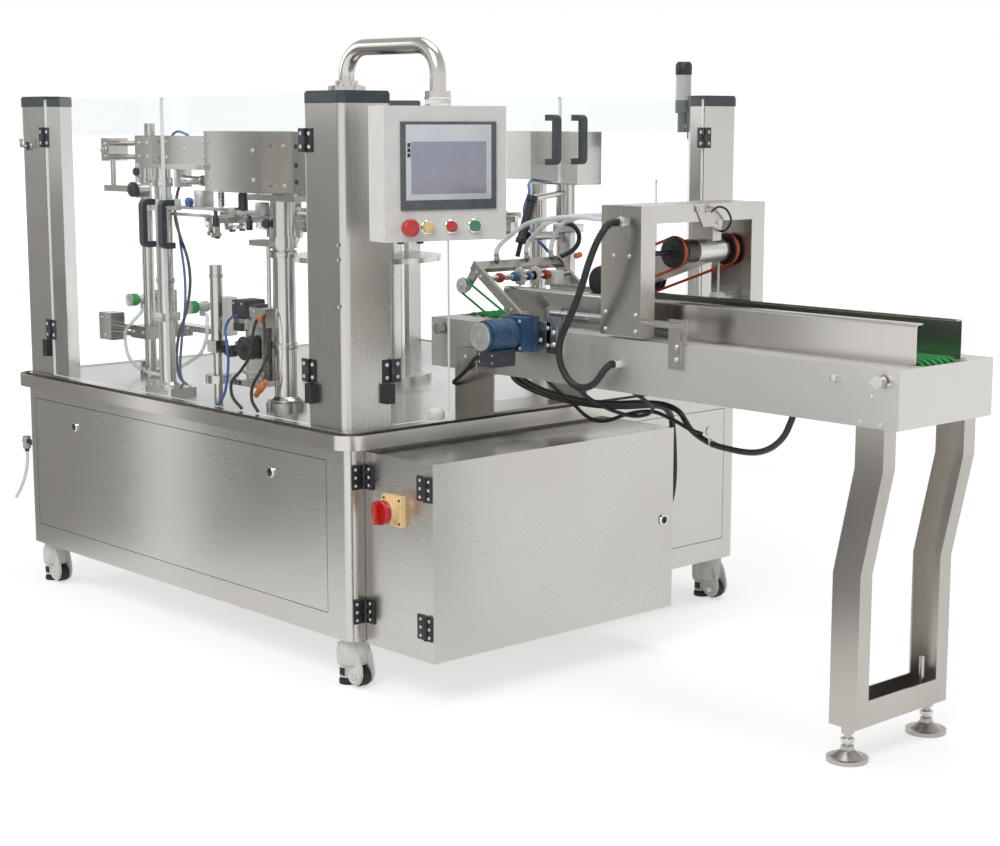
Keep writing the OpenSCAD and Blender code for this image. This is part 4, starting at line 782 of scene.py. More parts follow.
fit("stop_crown", cap, "stop", red_abs)
for name, y, finish, slot, body in (
    ("yellow_crown", -50, cream_abs, "yellow_plastic", "yellow"),
    ("red_crown", 8, red_abs, "red_plastic", "red"),
    ("green_crown", 66, green_abs, "green_plastic", "green"),
):
    crown = on_panel(turned(HMI_X + 50.5, HMI_Y + y, HMI_Z - 259, (1, 0, 0), [(0, 11.6), (0.9, 11.2), (1.5, 9.5), (1.7, 5)], 32))
    fit(name, crown, body, finish)
neck = turned(HMI_X, HMI_Y, 1349.5, (0, 0, 1), [(0, 29), (3, 29), (5, 27), (12, 27), (14, 29.5), (19, 29.5), (19.4, 28)], 40)
fit("hmi_neck_ring", neck, "panel", chrome_ring)
screws("hmi_arm_screws", [(-75 + 34 * math.cos(a), 66 + 34 * math.sin(a), 1395) for a in (0.5, 2.07, 3.64, 5.21)], (0, 0, 1), "panel_arm", 3.6, 3)

# Door hinges: white screw heads on both leaves
for name, pin, side in (("left", -1350.5, 1), ("right", -149.5, -1)):
    heads_fixed = [(pin - side * 16, 1, z + dz) for z in (1247, 717) for dz in (12, 42)]
    heads_door = [(pin + side * 16, 1, z + dz) for z in (1247, 717) for dz in (12, 42)]
    screws("hinge_heads_post_" + name, heads_fixed, (0, -1, 0), "machine", 4.6, 2.2, white_nylon)
    screws("hinge_heads_door_" + name, heads_door, (0, -1, 0), "door_fl" if side > 0 else "door_fr", 4.6, 2.2, white_nylon)
for name, pin, side in (("near", 139.5, 1), ("far", 1212.5, -1)):
    heads_fixed = [(-11, pin - side * 16, z + dz) for z in (1247, 717) for dz in (12, 42)]
    heads_door = [(-11, pin + side * 16, z + dz) for z in (1247, 717) for dz in (12, 42)]
    screws("hinge_heads_post_" + name, heads_fixed, (1, 0, 0), "machine", 4.6, 2.2, white_nylon)
    screws("hinge_heads_door_" + name, heads_door, (1, 0, 0), "door_sl" if side > 0 else "door_sr", 4.6, 2.2, white_nylon)

# Round locks of the panels and of the box: chrome ring, black insert
locks = []
inserts = []
for x, y, z, axis in ((-1232, 0, 483, (0, -1, 0)), (-305, 0, 483, (0, -1, 0))):
    locks.append(turned(x, y - 0.5, z, axis, [(0, 14), (3, 14), (5, 12.5), (5, 9.5), (2, 9.4)], 32))
    inserts.append(turned(x, y - 2, z, axis, [(0, 9.2), (1.6, 9.2), (1.8, 8.4), (1.8, 3.4), (0.6, 3.2)], 24))
fit("panel_lock_rings", locks, "front_panel", chrome_ring)
fit("panel_lock_inserts", inserts, "front_panel", black_nylon)
ring = turned(243.5, 794, 338, (1, 0, 0), [(0, 14), (3, 14), (5, 12.5), (5, 9.5), (2, 9.4)], 32)
fit("box_lock_ring", ring, "ebox_door", chrome_ring)
insert = turned(245, 794, 338, (1, 0, 0), [(0, 9.2), (1.6, 9.2), (1.8, 8.4), (1.8, 3.4), (0.6, 3.2)], 24)
fit("box_lock_insert", insert, "ebox_door", black_nylon)

# Mains switch: four corner screws, pointer on the knob
screws("mains_switch_screws", [(112 + dx, 34, 446 + dz) for dx in (-27, 27) for dz in (-27, 27)], (0, -1, 0), "ebox", 3.2, 1.6, black_nylon)
knob = [
    turned(112, 1, 446, (0, -1, 0), [(0, 28.4), (3, 28.4), (5, 27)], 40),
    block(106.5, 117.5, -19.0, 2, 422, 470, 3.0),
]
fit("mains_knob_skin", knob, "mains_knob", red_abs)

# Conveyor beam: screws in its side and end
screws("beam_screws_front", [(1114, 453, 802), (1157, 453, 800), (1115, 453, 772), (1088, 453, 719), (1139, 453, 719)], (0, -1, 0), "machine", 4.2, 3)
bolt = turned(1027, 453, 803, (0, -1, 0), [(0, 11), (3, 11), (3, 8), (12, 8), (13, 7)], 6, 0.4)
fit("tail_adjuster", bolt, "machine", zinc_screw)
axle_plate = turned(1143, 439, 806.5, (0, -1, 0), [(0, 12), (1.5, 12), (2, 11)], 32)
fit("tail_axle_washer", axle_plate, "tail_roller", bright_steel)

# Portal: bolts on the leg, glands, rods' end screws
screws("portal_leg_screws", [(408, 440, 1020), (456, 440, 1020), (384, 440, 891), (477, 440, 890), (384, 440, 853), (477, 440, 853)], (0, -1, 0), "machine", 4.6, 3.2)
glands = []
for x, y, z in ((435, 440, 1094), (412, 453, 774)):
    glands.append(turned(x, y, z, (0, -1, 0), [(0, 15.5), (2, 15.5), (2, 13.5), (8, 13.5), (9, 12.2), (13, 12.2), (14.5, 11)], 6, 0.5))
fit("conduit_glands", glands, "machine", zinc_screw)
screws("slot_plate_screws", [(x + dx, 447, z) for x, dx in ((210, -2), (597, -2)) for z in (800, 828)] + [(210, 447, 874), (597, 447, 874)], (0, -1, 0), "machine", 6.0, 4.0)


def cut_plate(points, axis, place, thick):
    """Sheet cut to an outline and laid across an axis: (y, z) points for x, (x, z) for y."""
    curve = bpy.data.curves.new("plate", "CURVE")
    curve.dimensions = "2D"
    curve.fill_mode = "BOTH"
    curve.extrude = thick / 2000
    spline = curve.splines.new("POLY")
    spline.points.add(len(points) - 1)
    for point, (u, v) in zip(spline.points, points):
        point.co = (u / 1000, v / 1000, 0, 1)
    spline.use_cyclic_u = True
    piece = bpy.data.objects.new("plate", curve)
    bpy.context.scene.collection.objects.link(piece)
    pick(piece)
    bpy.ops.object.convert(target="MESH")
    piece = bpy.context.object
    middle = at(0, 0, 0)
    if axis == "x":
        columns = ((0, 1, 0), (0, 0, 1), (1, 0, 0))
        middle.x = at(place + thick / 2, 0, 0).x
    else:
        columns = ((1, 0, 0), (0, 0, 1), (0, -1, 0))
        middle.y = at(0, place + thick / 2, 0).y
    turn = Matrix(columns).transposed().to_4x4()
    piece.data.transform(Matrix.Translation(middle) @ turn)
    return soften(piece, 0.5)


def belt_loop(a, b, y, ra, rb, radius):
    """A round belt round two pulleys at a and b, both (x, z), in the plane y."""
    angle = math.atan2(b[1] - a[1], b[0] - a[0])
    points = []
    for (x, z), r, turn in ((a, ra, 90), (b, rb, -90)):
        for i in range(13):
            around = angle + math.radians(turn + 15 * i)
            points.append((x + r * math.cos(around), y, z + r * math.sin(around)))
    points.append(points[0])
    return rod(points, radius, False)


# Box hinges: black leaves on the post, the box and its door, three white screws on each
LEAF_ROWS = [z + dz for z in (164, 481) for dz in (9, 28, 47)]
post_leaves = []
box_leaves = []
door_leaves = []
for z in (164, 481):
    post_leaves.append(block(2.4, 6.2, 5.5, 34.2, z - 0.4, z + 56.4, 0.8))
    post_leaves.append(turned(6, 40, z, (0, 0, 1), [(0, 5.6), (56, 5.6)], 20, 0.6))
    box_leaves.append(block(11.4, 34.6, 42.2, 46.2, z - 0.4, z + 56.4, 0.8))
    box_leaves.append(block(190, 215.8, 42.2, 46.2, z - 0.4, z + 56.4, 0.8))
    door_leaves.append(block(227.2, 242.6, 40.2, 45.9, z - 0.4, z + 56.4, 0.8))
    door_leaves.append(turned(223.5, 40, z, (0, 0, 1), [(0, 5.6), (56, 5.6)], 20, 0.6))
fit("box_hinge_post_leaves", post_leaves, "machine", black_nylon)
fit("box_hinge_leaves", box_leaves, "ebox", black_nylon)
fit("box_door_leaves", door_leaves, "ebox_door", black_nylon)
for name, places, axis, body in (
    ("box_hinge_heads_post", [(6.2, 14.5, z) for z in LEAF_ROWS], (1, 0, 0), "machine"),
    ("box_hinge_heads", [(x, 42.2, z) for x in (20, 203) for z in LEAF_ROWS], (0, -1, 0), "ebox"),
    ("box_door_heads", [(235, 40.2, z) for z in LEAF_ROWS], (0, -1, 0), "ebox_door"),
):
    screws(name, places, axis, body, 3.6, 1.6, white_nylon)

# Gearmotor: fins, fan cover with its hub, terminal box with lid screws and lead, bracket
fins = [(0, 38.4), (1, 39.2), (20, 39.2), (21, 38), (23, 38), (24, 39.2), (62, 39.2), (63, 37.6), (64, 37.6)]
fit("motor_fins", turned(112, 392, 821, (0, -1, 0), fins, 44), "machine", blue_enamel)
cover = turned(112, 304.4, 821, (0, -1, 0), [(0, 33.4), (1.5, 33.4), (3, 31.5), (3, 25), (2, 25), (2, 12), (4, 12), (4.5, 10)], 44)
hub = block(103, 121, 296, 303, 812, 830, 1.5)
fit("motor_fan_cover", [cover, hub], "machine", device_grey)
screws("gearbox_bolts", [(112 + dx, 400, 821 + dz) for dx in (-32, 32) for dz in (-32, 32)], (0, -1, 0), "machine", 5.0, 4)
lid = block(83.2, 140.8, 321.2, 388.8, 749, 757, 2.0)
side = block(82.6, 141.4, 320.6, 389.4, 757, 787, 2.4)
gland = turned(84, 350, 770, (-1, 0, 0), [(0, 10), (7, 10), (8, 8), (13, 7)], 6, 0.5)
fit("terminal_box", [lid, side, gland], "machine", dark_cast)
screws("terminal_box_screws", [(112 + dx, 321, 768 + dz) for dx in (-22, 22) for dz in (-8, 10)], (0, -1, 0), "machine", 2.8, 1.5)
hose(
    "motor_lead",
    [(72, 350, 770), (50, 350, 766), (12, 370, 752), (-29, 398, 737), (-62, 412, 717), (-94, 418, 697), (-126, 428, 680), (-140, 452, 672)],
    5, "machine", cable_rubber,
)
foot = [
    block(-102, -31, 417, 420, 717, 770, 0.4),
    block(-102, -99, 420, 453, 717, 770, 0.4),
    block(154.6, 198, 447, 452.8, 787, 851, 0.6),
]
fit("motor_side_plates", foot, "machine", plate_steel)
# Painted shade: a thin black sheet stands where the side plate's slot opens
fit("side_plate_slot_painted_shade", block(158, 181, 446.4, 447.2, 797, 829, 0.2), "machine", black_nylon)
screws("side_plate_bolts", [(-71, 417, 749), (166, 447, 808), (190, 447, 838), (190, 447, 797)], (0, -1, 0), "machine", 6, 4)

# Sensor on the portal's end face, its lead, and the guide spool below
bracket = cut_plate([(613, 1129), (681, 1122), (710, 1097), (706, 1079), (641, 1079)], "x", 493.2, 3)
fit("sensor_bracket", bracket, "machine", plate_steel)
screws("sensor_bracket_screws", [(496, 622, 1118), (496, 652, 1116), (496, 692, 1088)], (1, 0, 0), "machine", 5, 4)
hose(
    "sensor_lead",
    [(502, 660, 1112), (512, 674, 1124), (515, 700, 1116), (506, 726, 1090), (480, 738, 1068), (458, 742, 1064), (444, 745, 1064)],
    2.6, "machine", cable_rubber,
)
eye = turned(432, 726.2, 1064, (0, -1, 0), [(0, 17), (2, 17), (3, 15), (3, 12), (1.5, 11)], 36)
fit("sensor_eye", eye, "machine", black_nylon)
spool = turned(430, 756, 903, (0, 1, 0), [(0, 9), (0, 16), (7, 16), (8, 9), (20, 9), (21, 16), (28, 16), (28, 6), (58.6, 6)], 32, 0.4)
pin = rod([(430, 772, 911), (430, 772, 996)], 3, False)
fit("guide_spool", [spool, pin], "machine", white_nylon)
gauges = []
for body, x, z in (("press_top", 430, 1019), ("press_low", 196, 938)):
    for y, way in ((610.8, -1), (809.2, 1)):
        gauges.append(turned(x, y, z, (0, way, 0), [(0, 35), (1.2, 35), (2.4, 31), (2.4, 15), (5, 14), (6, 9), (6, 6)], 40))
    fit(body + "_hubs", gauges, body, black_nylon)
    gauges = []
band = turned(430, 640.2, 1019, (0, 1, 0), [(0, 28.5), (38, 28.5), (40, 28.2)], 44)
far_band = turned(430, 779.8, 1019, (0, -1, 0), [(0, 28.5), (8, 28.5), (9, 28.2)], 44)
fit("press_drum_bands", [band, far_band], "machine", dark_drum)
drum = turned(430, 680, 1019, (0, 1, 0), [(0, 28.3), (91, 28.3)], 44)
fit("press_drum_shell", drum, "machine", milled_aluminium)

# Bag pick-up: bolts, side pulley with its green belt, scalloped wheels, collars, tubes
screws("pickup_bar_screws", [(-92, 472, 952), (-77, 472, 942), (35, 472, 868)], (0, -1, 0), "pickup", 5, 3)
wheel = turned(-134, 460, 916, (0, 1, 0), [(0, 8), (0, 19), (3, 19), (4, 14.5), (7, 14.5), (8, 19), (11.5, 19)], 32, 0.3)
spindle = turned(-134, 455, 916, (0, 1, 0), [(0, 6), (24, 6)], 16, 0.4)
fit("pickup_pulley", [wheel, spindle], "pickup", white_nylon)
link = cut_plate([(-146, 908), (-126, 902), (-86, 950), (-104, 966)], "y", 472.5, 8)
fit("pickup_pulley_link", link, "pickup", milled_aluminium)
far_wheel = turned(28, 460, 836, (0, 1, 0), [(0, 6), (0, 19), (3, 19), (4, 14.5), (7, 14.5), (8, 19), (11.5, 19)], 32, 0.3)
fit("pickup_low_pulley", far_wheel, "pickup", white_nylon)
fit("pickup_side_belt", belt_loop((-134, 916), (28, 836), 465.8, 17.5, 17.5, 3), "pickup", green_belt)
shaft = turned(-57, 487, 937, (0, 1, 0), [(0, 7), (258, 7)], 20, 0.5)
fit("pickup_shaft_skin", shaft, "pickup", bright_steel)
scallops = []
for y in (583, 634):
    star = []
    for i in range(48):
        r = 20.6 + 3.2 * math.cos(math.radians(90 * i))
        turn = math.radians(7.5 * i)
        star.append((-57 + r * math.cos(turn), 937 + r * math.sin(turn)))
    scallops.append(cut_plate(star, "y", y, 9))
    scallops.append(turned(-57, y, 937, (0, 1, 0), [(0, 12), (14, 12), (18, 10)], 24, 0.6))
fit("pickup_wheels", scallops, "pickup", white_nylon)
collars = [turned(-57, y, 937, (0, 1, 0), [(0, 12), (10, 12)], 24, 1.0) for y in (563, 606)]
fit("pickup_blue_collars", collars, "pickup", blue_tube)
collars = [turned(-57, y, 937, (0, 1, 0), [(0, 12), (12, 12), (12, 9), (17, 9)], 24, 1.0) for y in (512, 668)]
fit("pickup_red_collars", collars, "pickup", red_plug)
jaw = block(-76, -40, 690, 722, 908, 946, 2.0)
fit("pickup_white_block", jaw, "pickup", white_nylon)
cups = [turned(-99, y, 975, (-0.2, 0, 1), [(0, 8), (6, 8), (7, 6), (14, 6), (15, 7), (18, 6.5)], 24, 0.4) for y in (548, 650, 735)]
fit("pickup_tube_fittings", cups, "pickup", device_grey)
arcs = (
    ("clear_tube_1", [(-102, 547, 992), (-98, 551, 1008), (-80, 559, 1028), (-27, 580, 1067), (40, 600, 1083), (114, 620, 1088), (170, 640, 1085), (270, 664, 1088), (340, 684, 1096), (371, 692, 1104)]),
    ("clear_tube_2", [(-102, 649, 992), (-98, 648, 1008), (-80, 647, 1028), (-22, 650, 1069), (60, 654, 1087), (150, 664, 1092), (250, 680, 1094), (330, 694, 1100), (371, 702, 1110)]),
    ("clear_tube_3", [(-102, 735, 992), (-100, 737, 1008), (-94, 739, 1026), (-58, 738, 1062), (13, 735, 1082), (110, 728, 1090), (220, 722, 1094), (320, 718, 1100), (371, 716, 1108)]),
)
for name, points in arcs:
    hose(name, points, 6, "machine", clear_hose)
hose(
    "black_hose",
    [(-56, 740, 1062), (-48, 762, 1056), (-48, 782, 1034), (-58, 788, 1008), (-74, 778, 988), (-92, 760, 976)],
    6, "machine", cable_rubber,
)
post = [block(-136, -96, 798, 818, 613, 1038, 1.5), block(-152, -74, 790, 826, 1036, 1058, 1.5), block(-150, -82, 786, 830, 611, 622, 1.0)]
fit("tube_post", post, "machine", milled_aluminium)
cylinder = turned(-134, 690, 1028, (0, 1, 0), [(0, 9), (0, 12), (6, 12), (6, 10.5), (92, 10.5), (92, 12), (100, 12)], 28, 0.4)
fit("post_cylinder", cylinder, "machine", bright_steel)
plug = turned(-68, 800, 979, (-0.3, -0.85, -0.3), [(-10, 5), (-8, 7.5), (8, 7.5), (11, 5)], 20, 0.5)
fit("orange_plug", plug, "machine", orange_plug)

# Damper and blue tubes that hang from the rear station behind the pick-up
damper = turned(-150, 716, 1129, (0, -0.326, -0.945), [(0, 10), (0, 15), (14, 15), (16, 12.5), (110, 12.5), (112, 15), (124, 15), (124, 6), (160, 6)], 28, 0.6)
fit("rear_damper", damper, "machine", black_nylon)
arm = [rod([(-150, 716, 1124), (-300, 980, 1128)], 8, False)]
fit("damper_rod", arm, "machine", bright_steel)
hose(
    "blue_tube_rear",
    [(-385, 934, 1162), (-350, 890, 1150), (-306, 850, 1128), (-270, 800, 1096), (-240, 774, 1070), (-200, 756, 1040), (-160, 750, 1012), (-126, 750, 988), (-104, 750, 974)],
    4, "machine", blue_tube,
)

# Stations: cover screws, clamp bolts, knobs, plates' bolts
cover = [(-459, 72, 1247), (-458, 72, 1176), (-650, 72, 1270), (-650, 72, 1165)]
box_face = [(-437, 120, 1258), (-400, 120, 1258), (-433, 120, 1159), (-399, 120, 1161)]
screws("station_cover_screws", cover + box_face, (0, -1, 0), "machine", 5.5, 3)
holes = [(-347, 120, 1257), (-347, 120, 1212), (-347, 120, 1172)]
screws("station_box_plugs", holes, (0, -1, 0), "machine", 6.5, 1.2, black_nylon)
faces = [(-862, 82, 1266), (-862, 82, 1225), (-690, 82, 1266), (-690, 82, 1225), (-776, 82, 1246)]
faces += [(-940, 50, 1262), (-900, 50, 1262), (-940, 50, 1228), (-900, 50, 1228), (-1112, 50, 1258), (-1112, 50, 1226)]
faces += [(-1225, 190, 735), (-1175, 190, 735), (-1404, 195, 762), (-1370, 195, 762), (-1387, 195, 712), (-1392, 320, 1186), (-1392, 320, 1160)]
screws("clamp_bolts_front", faces, (0, -1, 0), "machine", 4.4, 3.2)
faces = [(-1250, 300, 744), (-1120, 300, 744), (-1000, 300, 744)]
for x in (-1262, -960):
    faces += [(x + dx, 298, 820 + dz) for dx in (-16, 16) for dz in (-16, 14)]
screws("opener_bolts", faces, (0, -1, 0), "machine", 3.6, 2.6)
feet = []
for x, y, r in ((-431, 139, 42), (-1205, 232, 26), (-300, 980, 42), (-700, 1257, 42), (-1180, 1040, 42)):
    for a in range(4):
        turn = math.radians(45 + 90 * a)
        feet.append((x + r * math.cos(turn), y + r * math.sin(turn), 627))
feet += [(-918, 54, 627), (-818, 54, 627), (-918, 108, 627), (-818, 108, 627)]
screws("column_foot_bolts", feet, (0, 0, 1), "machine", 5, 5)
top = [(-495, 110, 1139), (-495, 168, 1139), (-330, 104, 1139), (-431, 104, 1139), (-466, 168, 1139)]
screws("top_plate_bolts", top, (0, 0, 1), "machine", 5, 4)
rings = [
    turned(-431, 139, 986, (0, 0, 1), [(0, 30), (0, 33), (16, 33), (17, 31)], 48, 0.6),
    turned(-431, 139, 760, (0, 0, 1), [(0, 28.2), (0, 31), (14, 31), (15, 29)], 48, 0.6),
    turned(-431, 139, 627, (0, 0, 1), [(0, 38), (6, 38), (9, 33), (14, 29.5)], 48, 0.6),
    turned(-875, 78, 1150, (0, 0, 1), [(0, 22.2), (0, 27), (22, 27), (23, 25)], 40, 0.6),
    turned(-875, 78, 900, (0, 0, 1), [(0, 22.2), (0, 25), (12, 25), (12, 23)], 40, 0.6),
    turned(-875, 78, 627, (0, 0, 1), [(0, 32), (4, 32), (7, 27), (12, 23.5)], 40, 0.6),
    turned(-612, 60, 930, (0, 0, 1), [(0, 16.2), (0, 18), (8, 18), (8, 16.4)], 32, 0.5),
    turned(-1205, 232, 1150, (0, 0, 1), [(0, 16.2), (0, 21), (16, 21), (16, 17)], 32, 0.5),
]
fit("column_collars", rings, "machine", bright_steel)
lift = [
    block(-908, -842, 44, 112, 1088, 1118, 2),
    block(-905, -880, 38, 60, 1092, 1112, 1.5),
    block(-900, -850, 50, 106, 800, 822, 2),
]
fit("column_clamps", lift, "machine", milled_aluminium)
screws("column_clamp_bolts", [(-893, 38, 1102), (-862, 44, 1108), (-862, 44, 1098), (-888, 50, 811), (-862, 50, 811)], (0, -1, 0), "machine", 4, 3)
knobs = [
    turned(-984, 62, 1140, (0, -1, 0), [(0, 19), (3, 20), (12, 20), (15, 17), (15, 9), (20, 8)], 12, 0.8),
    turned(-1383, 318, 1175, (0, -1, 0), [(0, 9), (4, 12), (12, 12), (15, 9)], 10, 0.8),
]
fit("adjusting_knobs", knobs, "machine", black_nylon)
air = [
    turned(-1100, 58, 1242, (-1, 0, 0), [(-4, 12), (0, 13), (6, 13), (8, 9), (26, 9), (28, 11), (32, 11)], 24, 0.5),
    turned(-800, 95, 1168, (1, 0, 0), [(0, 9), (0, 14), (12, 14), (13, 11.5), (84, 11.5), (85, 14), (96, 14), (97, 6), (126, 6)], 28, 0.5),
]
fit("air_cylinders_top", air, "machine", bright_steel)
fit("air_cylinder_bracket", block(-812, -798, 72, 118, 1150, 1197, 1.5), "machine", milled_aluminium)

# Suction cups: bellows, clear lips, fittings, one clear tube that loops under both
lips = []
bellows = []
elbows = []
for x in (-1262, -960):
    bellows.append(turned(x, 227, 820, (0, -1, 0), [(0, 14.4), (2, 17.5), (5, 14.8), (8, 18), (11, 14.8), (14, 18), (17, 15), (21, 17)], 36, 0.5))
    lips.append(turned(x, 206, 820, (0, -1, 0), [(0, 16), (3, 18.5), (6, 19.5), (6, 14), (2, 8)], 36, 0.3))
    elbows.append(turned(x, 262, 820, (0, -1, 0), [(0, 12), (0, 15), (16, 15), (18, 11), (30, 11)], 24, 0.6))
    elbows.append(turned(x, 245, 808, (0, 0, -1), [(0, 5), (0, 7.5), (12, 7.5), (13, 6)], 20, 0.4))
fit("cup_bellows", bellows, "opener", green_silicone)
fit("cup_lips", lips, "opener", clear_hose)
fit("cup_elbows", elbows, "opener", white_nylon)
hose(
    "cup_tube",
    [(-1262, 245, 796), (-1262, 236, 780), (-1276, 214, 752), (-1294, 204, 722), (-1280, 202, 664), (-1240, 204, 634), (-1180, 206, 622),
     (-1100, 208, 622), (-1031, 206, 646), (-965, 204, 672), (-905, 202, 702), (-874, 200, 744), (-878, 206, 778), (-908, 226, 800), (-940, 240, 800), (-958, 245, 798)],
    5, "opener", clear_hose,
)

# Leads and blue tubes along the thick column and under the printer
hose(
    "column_lead",
    [(-940, 118, 1276), (-909, 119, 1271), (-894, 120, 1240), (-862, 120, 1214), (-836, 119, 1188), (-868, 118, 1134), (-882, 117, 1072),
     (-861, 117, 1022), (-827, 117, 962), (-818, 117, 900), (-838, 117, 827), (-879, 117, 756), (-905, 125, 690), (-915, 140, 640), (-905, 160, 615)],
    4, "machine", cable_rubber,
)
hose(
    "blue_tube_column",
    [(-806, 114, 1282), (-862, 118, 1291), (-905, 124, 1270), (-930, 128, 1216), (-922, 128, 1140), (-890, 128, 1057), (-874, 128, 990),
     (-860, 128, 914), (-862, 128, 836), (-884, 128, 735), (-900, 132, 660), (-892, 140, 615)],
    3.5, "machine", blue_tube,
)
hose(
    "blue_tube_printer",
    [(-560, 88, 836), (-566, 70, 830), (-560, 50, 806), (-547, 43, 773), (-536, 40, 724), (-543, 36, 660), (-556, 32, 630), (-572, 30, 614)],
    3.5, "machine", blue_tube,
)
hose(
    "printer_lead_1",
    [(-455, 79, 836), (-446, 62, 828), (-438, 46, 796), (-442, 42, 752), (-480, 40, 710), (-520, 38, 676), (-512, 34, 640), (-470, 32, 616)],
    4, "machine", cable_rubber,
)
hose(
    "printer_lead_2",
    [(-434, 84, 846), (-418, 66, 840), (-388, 50, 806), (-368, 44, 764), (-396, 40, 716), (-430, 38, 676), (-428, 34, 640), (-400, 32, 616)],
    4, "machine", cable_rubber,
)
plugs = [
    turned(-427, 44, 650, (0.74, 0, 0.67), [(0, 5), (2, 7), (22, 7), (24, 9), (46, 9), (48, 6), (62, 5)], 16, 0.5),
    turned(-440, 80, 838, (0, -1, 0), [(0, 6), (0, 9), (12, 9), (13, 6)], 16, 0.5),
]
fit("orange_plugs", plugs, "machine", orange_plug)
head = [
    block(-586, -532, 87, 153, 828, 875, 3),
    block(-577, -541, 84, 120, 797, 816, 2),
    block(-536, -488, 98, 138, 846, 866, 2),
]
fit("printer_head_cover", head, "machine", dark_cast)
screws("printer_screws", [(-576, 87, 866), (-542, 87, 866), (-480, 80, 852), (-440, 80, 822), (-610, 50, 675), (-450, 50, 675)], (0, -1, 0), "machine", 3.4, 2.4)
roll = [
    turned(-500, 88, 760, (0, -1, 0), [(0, 8), (0, 30), (3, 30), (3, 26), (24, 26), (24, 30), (27, 30), (27, 9), (34, 9)], 44, 0.4),
    turned(-585, 96, 744, (0, -1, 0), [(0, 6), (0, 15), (20, 15), (22, 9), (30, 9)], 32, 0.4),
]
fit("printer_rollers", roll, "machine", black_nylon)
arm = [block(-592, -470, 98, 104, 736, 768, 1.0), block(-548, -462, 90, 97, 690, 700, 1.0)]
fit("printer_roller_plate", arm, "machine", milled_aluminium)

# Turret: jaws, springs and pivot caps on the sixteen arms, cap over the hub
jaws = []
springs = []
caps = []
for i in range(8):
    turn = (i + 0.5) * 45
    for side in (-1, 1):
        tip = turned(-740 + 230 + 22, 640 + side * 52, 1088, (0, 0, 1), [(0, 14.3), (3, 14.3), (4, 12), (4, 6), (2, 5)], 24)
        caps.append(swing(tip, -740, 640, turn))
        pad = block(-740 + 412, -740 + 424, 640 + side * 26 - 8, 640 + side * 26 + 8, 1008, 1026, 1.0)
        jaws.append(swing(pad, -740, 640, turn))
    coil = turned(-740 + 290, 640 - 41, 1076, (0, 1, 0), [(0, 5)] + [(2 + 4 * k, 5 + 1.5 * (k % 2)) for k in range(19)] + [(82, 5)], 14)
    springs.append(swing(coil, -740, 640, turn))
fit("gripper_pivot_caps", caps, "turret", zinc_screw)
fit("gripper_jaws", jaws, "turret", tyre_rubber)
fit("gripper_springs", springs, "turret", bright_steel)
hub = turned(-740, 640, 1124.2, (0, 0, 1), [(0, 122), (0, 126), (4, 126), (6, 122), (6, 60), (14, 56), (16, 50), (16, 20)], 64, 0.6)
fit("turret_cap", hub, "turret", milled_aluminium)
ring = []
for a in range(12):
    turn = math.radians(30 * a)
    ring.append((-740 + 250 * math.cos(turn), 640 + 250 * math.sin(turn), 1050))
screws("turret_disc_bolts", ring, (0, 0, 1), "turret", 6, 5)

# Post face bolts; lamp cap and ribs
screws("post_face_bolts", [(-30, 0, 1040), (-30, 0, 1006), (-30, 0, 900)], (0, -1, 0), "machine", 4, 2.4)
crown = turned(-174, 1306, 1443.6, (0, 0, 1), [(0, 22.6), (20, 22.6), (27, 22), (34.6, 17.5), (35, 8)], 40, 0.4)
fit("lamp_top_cap", crown, "machine", black_nylon)
core = [turned(-174, 1306, 1378.5 + 10.5 * i, (0, 0, 1), [(0, 6), (0, 15.5), (3, 16.5), (6, 15.5), (8, 8), (10.4, 6)], 32) for i in range(6)]
fit("lamp_core", core, "machine", grey_abs)

# Feet of the end stand: lock nuts; casters: axle heads, knurled rings, rubber pads
nuts = []
for y in (476, 754):
    nuts.append(turned(1066, y, 40, (0, 0, 1), [(0, 9.5), (0, 15), (9, 15), (10, 13)], 6, 0.6))
    nuts.append(turned(1066, y, 0.4, (0, 0, 1), [(0, 41), (5, 42), (8, 40)], 44, 0.4))
fit("stand_foot_nuts", nuts, "machine", zinc_screw)
for i, (x, y) in enumerate(((-49, 49), (-1451, 49), (-49, 1303), (-1451, 1303)), 1):
    housing = [
        turned(x, y, 54, (0, 0, 1), [(0, 20), (0, 33), (6, 36), (36, 36), (44, 34.5), (60, 34), (60, 30), (65.9, 30)], 44, 1.0),
        turned(x - 25.5, y, 16, (0, 0, 1), [(0, 18), (0, 20.5), (24, 20.5), (34, 19), (41, 17)], 36, 0.8),
        turned(x - 24, y, 0.5, (0, 0, 1), [(0, 6), (16, 6)], 16),
        block(x - 44, x - 4, y - 20, y + 20, 56, 99, 4),
    ]
    cheek = [(-40, 46), (-44, 58), (-44, 84), (-36, 99), (30, 99), (42, 78), (49, 50), (50, 34), (44, 17), (33, 8), (18, 8), (6, 17), (-4, 40)]
    for place, way in ((y - 20.6, -1), (y + 14.4, 1)):
        housing.append(cut_plate([(x + u, v) for u, v in cheek], "y", place, 6.2))
        rim = turned(x + 22, y + way * 20.4, 34, (0, way, 0), [(0, 25), (2.2, 24), (2.2, 20), (0.6, 19), (0.6, 11), (2.2, 10)], 40, 0.4)
        housing.append(rim)
    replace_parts(fit(f"caster_housing_{i}", housing, f"caster_{i}", white_nylon), f"caster_{i}")
    heads = [turned(x + 22, y + way * 20, 28, (0, way, 0), [(0, 9), (3, 9), (5, 7), (5, 4)], 6, 0.4) for way in (-1, 1)]
    fit(f"caster_axle_heads_{i}", heads, f"caster_{i}", zinc_screw)
    # Painted shade: a black block shows in the housing's window; the pad under the foot lock is real rubber
    window_shade = block(x - 33, x - 16, y - 21.2, y + 21.2, 22, 40, 1.0)
    pad = turned(x - 24, y, 0.3, (0, 0, 1), [(0, 23), (9, 23.4), (13, 21), (15, 12)], 36, 0.4)
    fit(f"caster_pad_and_window_shade_{i}", [window_shade, pad], f"caster_{i}", tyre_rubber)
